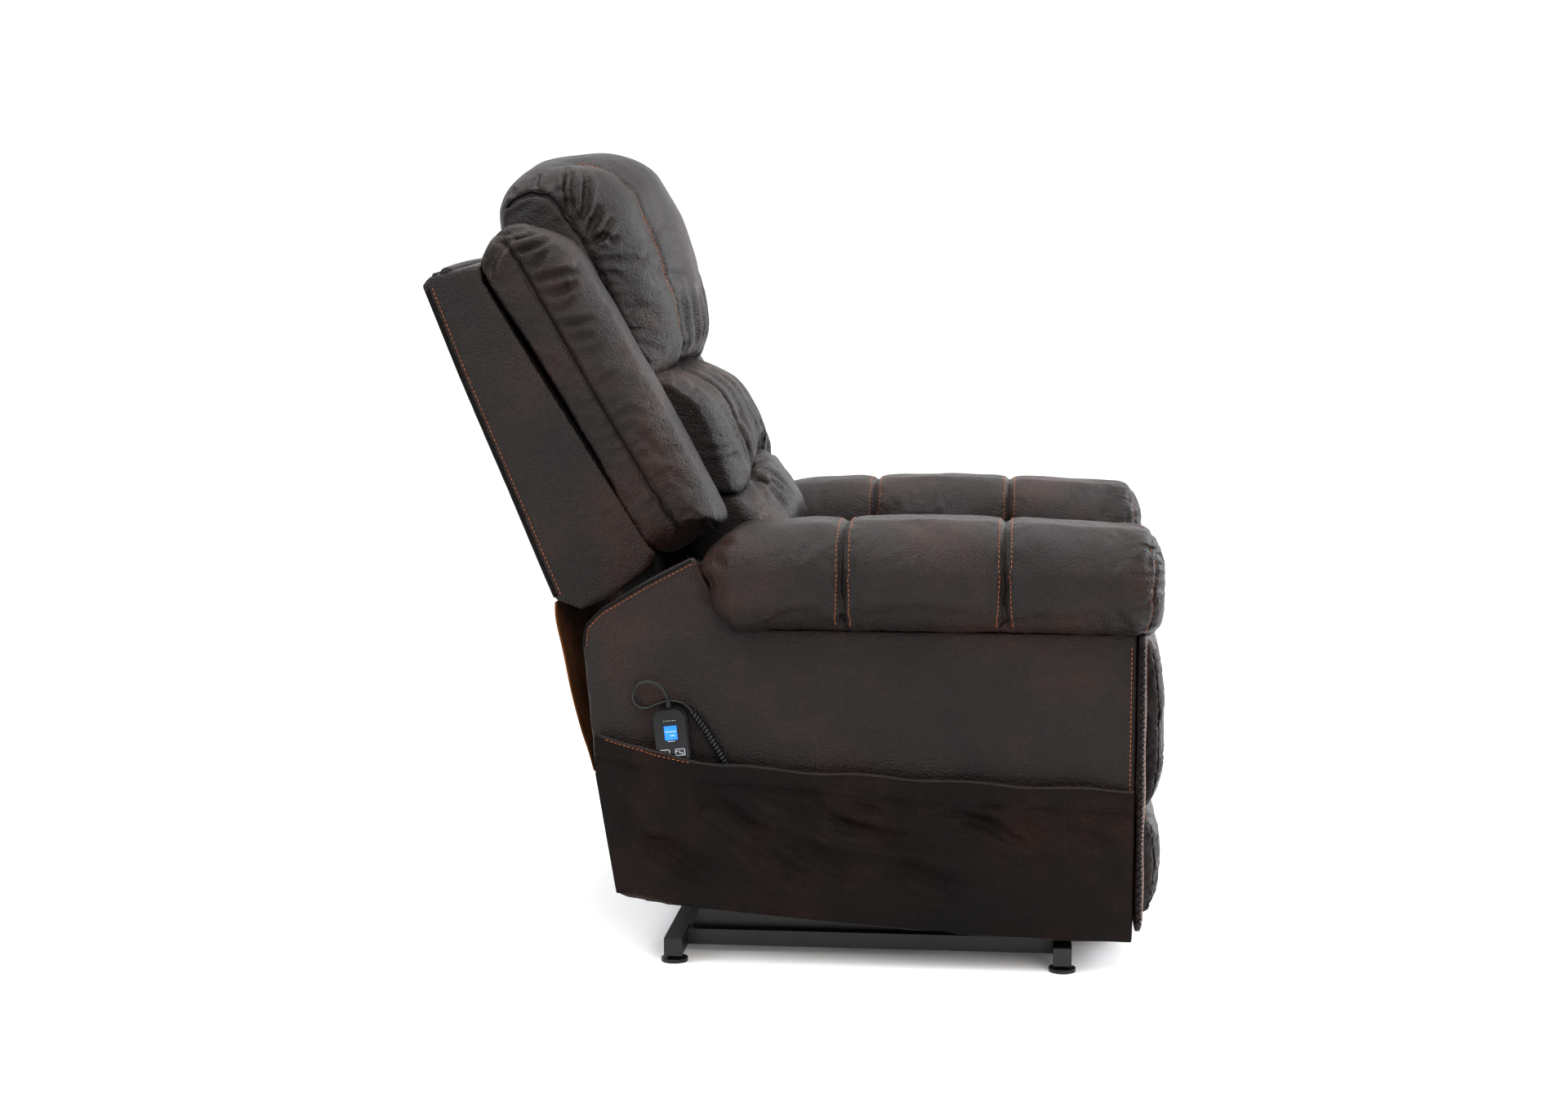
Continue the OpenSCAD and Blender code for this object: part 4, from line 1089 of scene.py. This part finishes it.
# dark lining that covers the back's frame between the cushions; it is drawn near-black as painted shade filling the
# gaps there
def makeShadeLining():
    board = [(194, 568), (427, 934), (432, 931), (199, 565)]
    vertices = [(x, y, z) for x in (-324, 324) for y, z in board]
    faces = [(0, 1, 2, 3), (7, 6, 5, 4)] + [(k, k + 4, (k + 1) % 4 + 4, (k + 1) % 4) for k in range(4)]
    skirt = [(x, y, z) for x in (-318, 318) for y, z in ((194, 569), (188, 500), (191, 500), (198, 569))]
    for name, corners in (("backShadeLining", vertices), ("backShadeLiningSkirt", skirt)):
        mount(newPiece(name, corners, faces, materials["weltAndSeamShade"], smooth=False), "backrest")


makeShadeLining()


# storage pocket on the right side
pocketSettings = {"panel": -413.0, "thickness": 1.8, "handsetY": 150.0, "columns": 190, "rows": 84}
pocketTop = [(-472, 256), (-265, 264), (-54, 274), (30, 278), (88, 284), (122, 289), (170, 298), (214, 308),
             (262, 320)]
pocketBand = [(-472, 227), (-155, 237), (-54, 246), (18, 251), (110, 259), (144, 265), (213, 281), (258, 291)]
pocketLow = [(-472, 44), (-267, 49), (-43, 64), (149, 80), (232, 95)]


def heightAlong(line, y):
    return np.interp(y, [p[0] for p in line], [p[1] for p in line])


def makePocket():
    s = pocketSettings
    u, v = np.meshgrid(np.linspace(0, 1, s["columns"]), np.linspace(0, 1, s["rows"]))
    y = -471 + u * (262 + 471)
    low = heightAlong(pocketLow, y) + 3
    high = heightAlong(pocketTop, y) + 1.8 * np.sin(y / 23) * np.clip((260 - y) / 90, 0, 1)
    z = low + (high - low) * v
    y = y - 29 * np.clip((263 - z) / 171, 0, 1) * np.clip((y - 120) / 142, 0, 1)
    sewn = np.minimum.reduce([(1 - np.exp(-u * 14)), (1 - np.exp(-(1 - u) * 16)), (1 - np.exp(-v * 7))])
    hand = np.exp(-((y - s["handsetY"]) / 62) ** 2) * np.clip((z - 120) / 110, 0, 1)
    slack = 5.0 + 4.0 * v + 12.5 * hand
    out = 3.0 + slack * sewn
    co = np.column_stack([np.zeros(y.size), y.ravel(), z.ravel()])
    folds = [([(149, 263), (91, 221), (28, 164), (-67, 107)], 4.2, 15),
             ([(102, 248), (38, 196), (-57, 155), (-120, 125)], 3.6, 13),
             ([(-197, 227), (-276, 207), (-328, 182), (-375, 164)], 3.8, 10),
             ([(-67, 234), (-114, 225), (-151, 210)], 3.0, 8),
             ([(-276, 223), (-328, 208), (-374, 175)], 3.0, 9),
             ([(246, 228), (198, 196), (129, 139), (76, 108)], 3.4, 16),
             ([(-130, 161), (-198, 125), (-266, 105)], 3.0, 16),
             ([(-20, 238), (-70, 205), (-150, 185), (-220, 180)], 3.2, 12),
             ([(232, 250), (222, 190), (226, 130)], 2.4, 12), ([(-380, 218), (-420, 195), (-455, 190)], 2.0, 8)]
    relief = np.zeros(len(co))
    flat = co.copy()
    for path, depth, width in folds:
        distance, along = nearPath(flat, [(0, a, b) for a, b in path])
        total = along.max()
        fade = np.clip(np.minimum(along, total - along) / (0.35 * total), 0, 1)
        valley = -np.exp(-(distance / width) ** 2)
        relief += depth * fade * (valley + 0.8 * np.exp(-((distance - 1.8 * width) / width) ** 2))
    ripple = 1.5 * np.sin(co[:, 1] / 17 + 1.5 * waves(flat, 90,
                                                      141)) * np.exp(-np.abs(co[:, 2] - heightAlong(pocketBand,
                                                                                                    co[:, 1])) / 16)
    relief += ripple + 1.6 * waves(flat, 85, 143)
    relief *= sewn.ravel()
    dip = 3.0 * np.exp(-((co[:, 2] - heightAlong(pocketBand, co[:, 1]) + 1) / 2.6) ** 2)
    band = np.clip((co[:, 2] - heightAlong(pocketBand, co[:, 1])) / 3.0, 0, 1)
    total = out.ravel() + 1.9 * relief - dip + 2.0 * band
    clear = 22.5 * np.clip(1.9 - np.abs(co[:, 1] - s["handsetY"] - 2) / 34, 0, 1) * np.clip((co[:, 2] - 168) / 22, 0,
                                                                                            1)
    total = np.maximum(total, clear)  # room for the handset that stands in the pocket
    co[:, 0] = s["panel"] + 2.5 - np.maximum(total, 2.2)
    grid = co.reshape(s["rows"], s["columns"], 3)
    for _ in range(3):
        grid[1:-1, 1:-1] = (grid[1:-1, 1:-1] * 2 + grid[:-2, 1:-1] + grid[2:, 1:-1] + grid[1:-1, :-2] + grid[1:-1,
                                                                                                             2:]) / 6
    vertices = grid.reshape(-1, 3)
    n = s["columns"]
    faces = [(r * n + k, (r + 1) * n + k, (r + 1) * n + k + 1, r * n + k + 1)
             for r in range(s["rows"] - 1) for k in range(n - 1)]
    pocket = newPiece("storagePocket", vertices, faces, materials["pocketShadeLeather"])
    modify(pocket, "SOLIDIFY", thickness=s["thickness"] * mm, offset=1.0)
    bake(pocket)
    hem = sweep("pocketHem", grid[-1][::2], 2.4, 10, materials["leather"])
    under = [(-430, a, heightAlong(pocketBand, a)) for a in np.linspace(-465, 250, 60)]
    band = seamShadeCord("pocketBandSeam", pocket, under, 0.9, 0.3)
    edge = [(-440, a, float(heightAlong(pocketTop, a)) - 3) for a in np.linspace(128, 252, 20)]
    threads = stitchRow("pocketStitches", pocket, [edge])
    mount(pocket, "seat_body", ["storage_pocket"], [hem, band, threads])


makePocket()
print("pocket made")


# loose flap behind, from the back to the body
flapSettings = {"halfWidth": 328.0, "thickness": 2.2, "length": 0.252}
flapLine = [(332, 490), (331, 465), (321, 418), (310, 361), (297, 310), (287, 279), (279, 250)]


def makeFlap():
    s = flapSettings
    line = smoothPath(flapLine, 10)
    xs = np.linspace(-s["halfWidth"], s["halfWidth"], 96)
    vertices = []
    for i, (y, z) in enumerate(line):
        low = i / (len(line) - 1)
        for x in xs:
            sway = low * (1.6 * math.sin(x / 61) + 1.0 * math.sin(x / 27 + 1)) * (1 - (x / s["halfWidth"]) ** 6)
            vertices.append((x, y + sway, z + 1.5 * low * math.sin(x / 90)))
    n = len(xs)
    faces = [(r * n + k, (r + 1) * n + k, (r + 1) * n + k + 1, r * n + k + 1)
             for r in range(len(line) - 1) for k in range(n - 1)]
    flap = newPiece("rearFlap", vertices, faces, materials["backing"])
    flap.data.materials.append(materials["weltAndSeamShade"])
    modify(flap, "SOLIDIFY", thickness=s["thickness"] * mm, offset=0.0, material_offset=1, material_offset_rim=0)
    bake(flap)
    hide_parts("rear_flap")
    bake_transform(flap)


makeFlap()
print("flap made")


# handset: printed marks on its keys and screen
handsetSettings = {"base": (-412.5, 150.0, 278.0), "lean": 6.0, "keySide": 10.5, "keyTop": 22.0, "keyStep": 20.0,
                   "keyFace": -19.8, "screenZ": 49.0}


def handsetPoint(x, y, z):
    s = handsetSettings
    turn = Matrix.Rotation(-math.radians(s["lean"]), 3, "X")
    moved = turn @ Vector((0, y, z))
    return (s["base"][0] + x, s["base"][1] + moved[1], s["base"][2] + moved[2])


def inked(name, shapes, depth):
    # flat printed shapes, given as outlines in the handset's own plane, standing 0.15 mm proud
    vertices, faces = [], []
    for outline in shapes:
        first, n = len(vertices), len(outline)
        for x in (depth, depth - 0.2):
            vertices += [handsetPoint(x, a, b) for a, b in outline]
        faces.append(tuple(first + n + k for k in range(n)))
        faces.append(tuple(first + k for k in range(n - 1, -1, -1)))
        faces += [(first + k, first + (k + 1) % n, first + n + (k + 1) % n, first + n + k) for k in range(n)]
    return newPiece(name, vertices, faces, materials["ink"], smooth=False)


def ringShapes(y, z, w, h, line):
    # a rectangle drawn as four bars
    return [[(y - w, z - h), (y + w, z - h), (y + w, z - h + line), (y - w, z - h + line)],
            [(y - w, z + h - line), (y + w, z + h - line), (y + w, z + h), (y - w, z + h)],
            [(y - w, z - h), (y - w + line, z - h), (y - w + line, z + h), (y - w, z + h)],
            [(y + w - line, z - h), (y + w, z - h), (y + w, z + h), (y + w - line, z + h)]]


def chairIcon(y, z, size, back):
    # a tiny seat with its back leaning, and an arrow head
    bar = 0.55
    return [[(y - size, z - 1.2), (y + size * 0.4, z - 1.2), (y + size * 0.4, z - 1.2 + bar),
             (y - size, z - 1.2 + bar)],
            [(y + size * 0.4, z - 1.2), (y + size * 0.4 + bar, z - 1.2), (y + size * 0.4 + back + bar, z + 2.4),
             (y + size * 0.4 + back, z + 2.4)],
            [(y - size, z - 1.2), (y - size + bar, z - 1.2), (y - size + bar - 0.8, z - 3.2),
             (y - size - 0.8, z - 3.2)]]


def makeMarks():
    s = handsetSettings
    names = (("lift_up", "lift_down"), ("back_up", "back_down"), ("headrest_up", "headrest_down"))
    for row, pair in enumerate(names):
        for side, name in zip((-1, 1), pair):
            y, z = side * s["keySide"], s["keyTop"] - row * s["keyStep"]
            shapes = ringShapes(y, z, 6.6, 4.7, 0.5) + chairIcon(y - 0.6, z, 2.6, (0.2, 1.4, 0.8)[row])
            tip = 1 if side < 0 else -1
            shapes.append([(y + 3.2, z + 0.9 * tip), (y + 5.2, z + 0.9 * tip), (y + 4.2, z + 2.6 * tip)])
            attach(inked(name + "Mark", shapes, s["keyFace"]), name + "_key")
    dots = [[(y + 0.5 * math.cos(a), 66 + 0.5 * math.sin(a)) for a in np.linspace(0, 2 * math.pi, 9)[:-1]]
            for y in np.linspace(-7.5, 7.5, 6)]
    bars = [[(y, 37.2), (y + 1.6, 37.2), (y + 1.6, 37.9), (y, 37.9)] for y in (-4.5, -1.9, 0.7, 3.3)]
    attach(inked("handsetLamps", dots + bars, -19.0), "seat_body")
    glass = [[(-7.5, s["screenZ"] + 1.5), (7.5, s["screenZ"] + 1.5), (7.5, s["screenZ"] + 2.1),
              (-7.5, s["screenZ"] + 2.1)],
             [(-5, s["screenZ"] - 4), (1, s["screenZ"] - 4), (1, s["screenZ"] - 3.3), (-5, s["screenZ"] - 3.3)]]
    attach(inked("screenMarks", glass, -18.4), "seat_body")


makeMarks()
print("handset marked")


# handset cord: plain loop, then the curly stretch down to the gland
cordSettings = {"diameter": 4.5, "coilRadius": 3.2, "pitch": 5.3, "perTurn": 16}
cordRoute = [(-422, 160, 372), (-422, 162, 378), (-422, 168, 387), (-421, 178, 393), (-420, 189, 395),
             (-419, 199, 392),
             (-418, 206, 384), (-417, 209, 374), (-416, 206, 364), (-415, 198, 358), (-414, 188, 358),
             (-414, 176, 363), (-414, 162, 367), (-414, 148, 367), (-415, 136, 362), (-417, 127, 353)]
curlRoute = [(-417.5, 127, 353), (-417.5, 119, 343), (-417.5, 110, 331), (-417.5, 101, 317), (-417.5, 92, 302),
             (-417.5, 84, 287), (-417.5, 77, 272)]


def makeCord():
    s = cordSettings
    plain = smoothPath(cordRoute, 4)[:-1]
    axis = resample(smoothPath(curlRoute, 12), s["pitch"] / s["perTurn"])
    tangents = np.gradient(axis, axis=0)
    tangents /= np.linalg.norm(tangents, axis=1, keepdims=True)
    helix = []
    for i, (p, t) in enumerate(zip(axis, tangents)):
        e1 = np.array([-1.0, 0, 0])
        e2 = np.cross(t, e1)
        fade = min(1.0, i / s["perTurn"], (len(axis) - 1 - i) / s["perTurn"])
        angle = 2 * math.pi * i / s["perTurn"]
        helix.append(p + s["coilRadius"] * fade * (math.cos(angle) * e1 + math.sin(angle) * e2))
    path = np.vstack([plain, helix])
    cord = sweep("handsetCord", path, s["diameter"] / 2, 12, materials["cord"])
    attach(cord, "seat_body")
    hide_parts("handset_cord", "handset_curly_cord")


makeCord()


# floor, light and camera
def softLight(name, at, target, size, power, colour="#ffffff"):
    lamp = bpy.data.lights.new(name, "AREA")
    lamp.shape = "RECTANGLE"
    lamp.size, lamp.size_y = size
    lamp.energy = power
    lamp.color = linear(colour)[:3]
    holder = bpy.data.objects.new(name, lamp)
    holder.location = at
    holder.rotation_euler = (Vector(target) - Vector(at)).to_track_quat("-Z", "Y").to_euler()
    holder.visible_camera = False
    scene.collection.objects.link(holder)
    return holder


floorMaterial, floorTree, floorShader = newMaterial("studioFloor", "#f6f6f6", 0.9, Emission_Strength=0.06)
floorShader.inputs["Emission Color"].default_value = linear("#ffffff")
# the floor fades out past the light, so no horizon shows
floorPlace = addNode(floorTree, "ShaderNodeTexCoord")
floorReach = addNode(floorTree, "ShaderNodeVectorMath", {"operation": "LENGTH"}, {0: (floorPlace, "Object")})
floorFade = addNode(floorTree, "ShaderNodeMapRange", {"From Min": 1.5, "From Max": 2.8, "To Min": 1.0, "To Max": 0.0},
                    {"Value": (floorReach, "Value")})
floorTree.links.new(floorFade.outputs["Result"], floorShader.inputs["Alpha"])
floorSize = 3000
floor = newPiece("studioFloorPlane", [(-floorSize, -floorSize, 0), (floorSize, -floorSize, 0),
                                      (floorSize, floorSize, 0),
                                      (-floorSize, floorSize, 0)], [(0, 1, 2, 3)], floorMaterial, smooth=False)
world = bpy.data.worlds.new("studioWorld")
world.use_nodes = True
skyTree = world.node_tree
skyTree.nodes["Background"].inputs["Color"].default_value = linear("#ffffff")
skyPlace = addNode(skyTree, "ShaderNodeTexCoord")
skySide = addNode(skyTree, "ShaderNodeVectorMath", {"operation": "DOT_PRODUCT", 1: (1.0, 0.0, 0.0)},
                  {0: (skyPlace, "Generated")})
skyLevel = addNode(skyTree, "ShaderNodeMapRange",
                   {"From Min": 0.1, "From Max": 0.85, "To Min": 0.42, "To Max": 1.0}, {"Value": (skySide, "Value")})
skyTree.links.new(skyLevel.outputs["Result"], skyTree.nodes["Background"].inputs["Strength"])
scene.world = world
lights = [softLight("overheadSoftbox", (-0.4, 0.4, 3.8), (0, 0, 0.4), (4.2, 4.2), 200),
          softLight("sideSoftbox", (-3.4, -1.8, 2.4), (0, 0, 0.7), (2.0, 2.4), 62, "#fffaf4"),
          softLight("frontSoftbox", (1.6, -3.4, 2.2), (0, 0, 0.8), (2.6, 2.2), 190, "#f8faff"),
          softLight("rearSoftbox", (-1.8, 3.0, 2.4), (0, 0, 0.7), (1.8, 2.0), 50, "#f6f9ff")]

cameraSettings = {"lens": 56.6, "place": (-3.7053, -0.3205, 0.9549), "forward": (0.98856, 0.0968, -0.11564),
                  "right": (0.09745, -0.99524, 0.0)}
cameraData = bpy.data.cameras.new("studioCamera")
cameraData.lens = cameraSettings["lens"]
cameraData.sensor_width = 36.0
camera = bpy.data.objects.new("studioCamera", cameraData)
right = Vector(cameraSettings["right"]).normalized()
forward = Vector(cameraSettings["forward"]).normalized()
up = right.cross(forward).normalized()
turn = Matrix((right, up, -forward)).transposed().to_4x4()
camera.matrix_world = Matrix.Translation(Vector(cameraSettings["place"])) @ turn
scene.collection.objects.link(camera)
scene.camera = camera
scene.view_settings.view_transform = "Standard"
scene.view_settings.look = "Medium High Contrast"
print("studio ready")
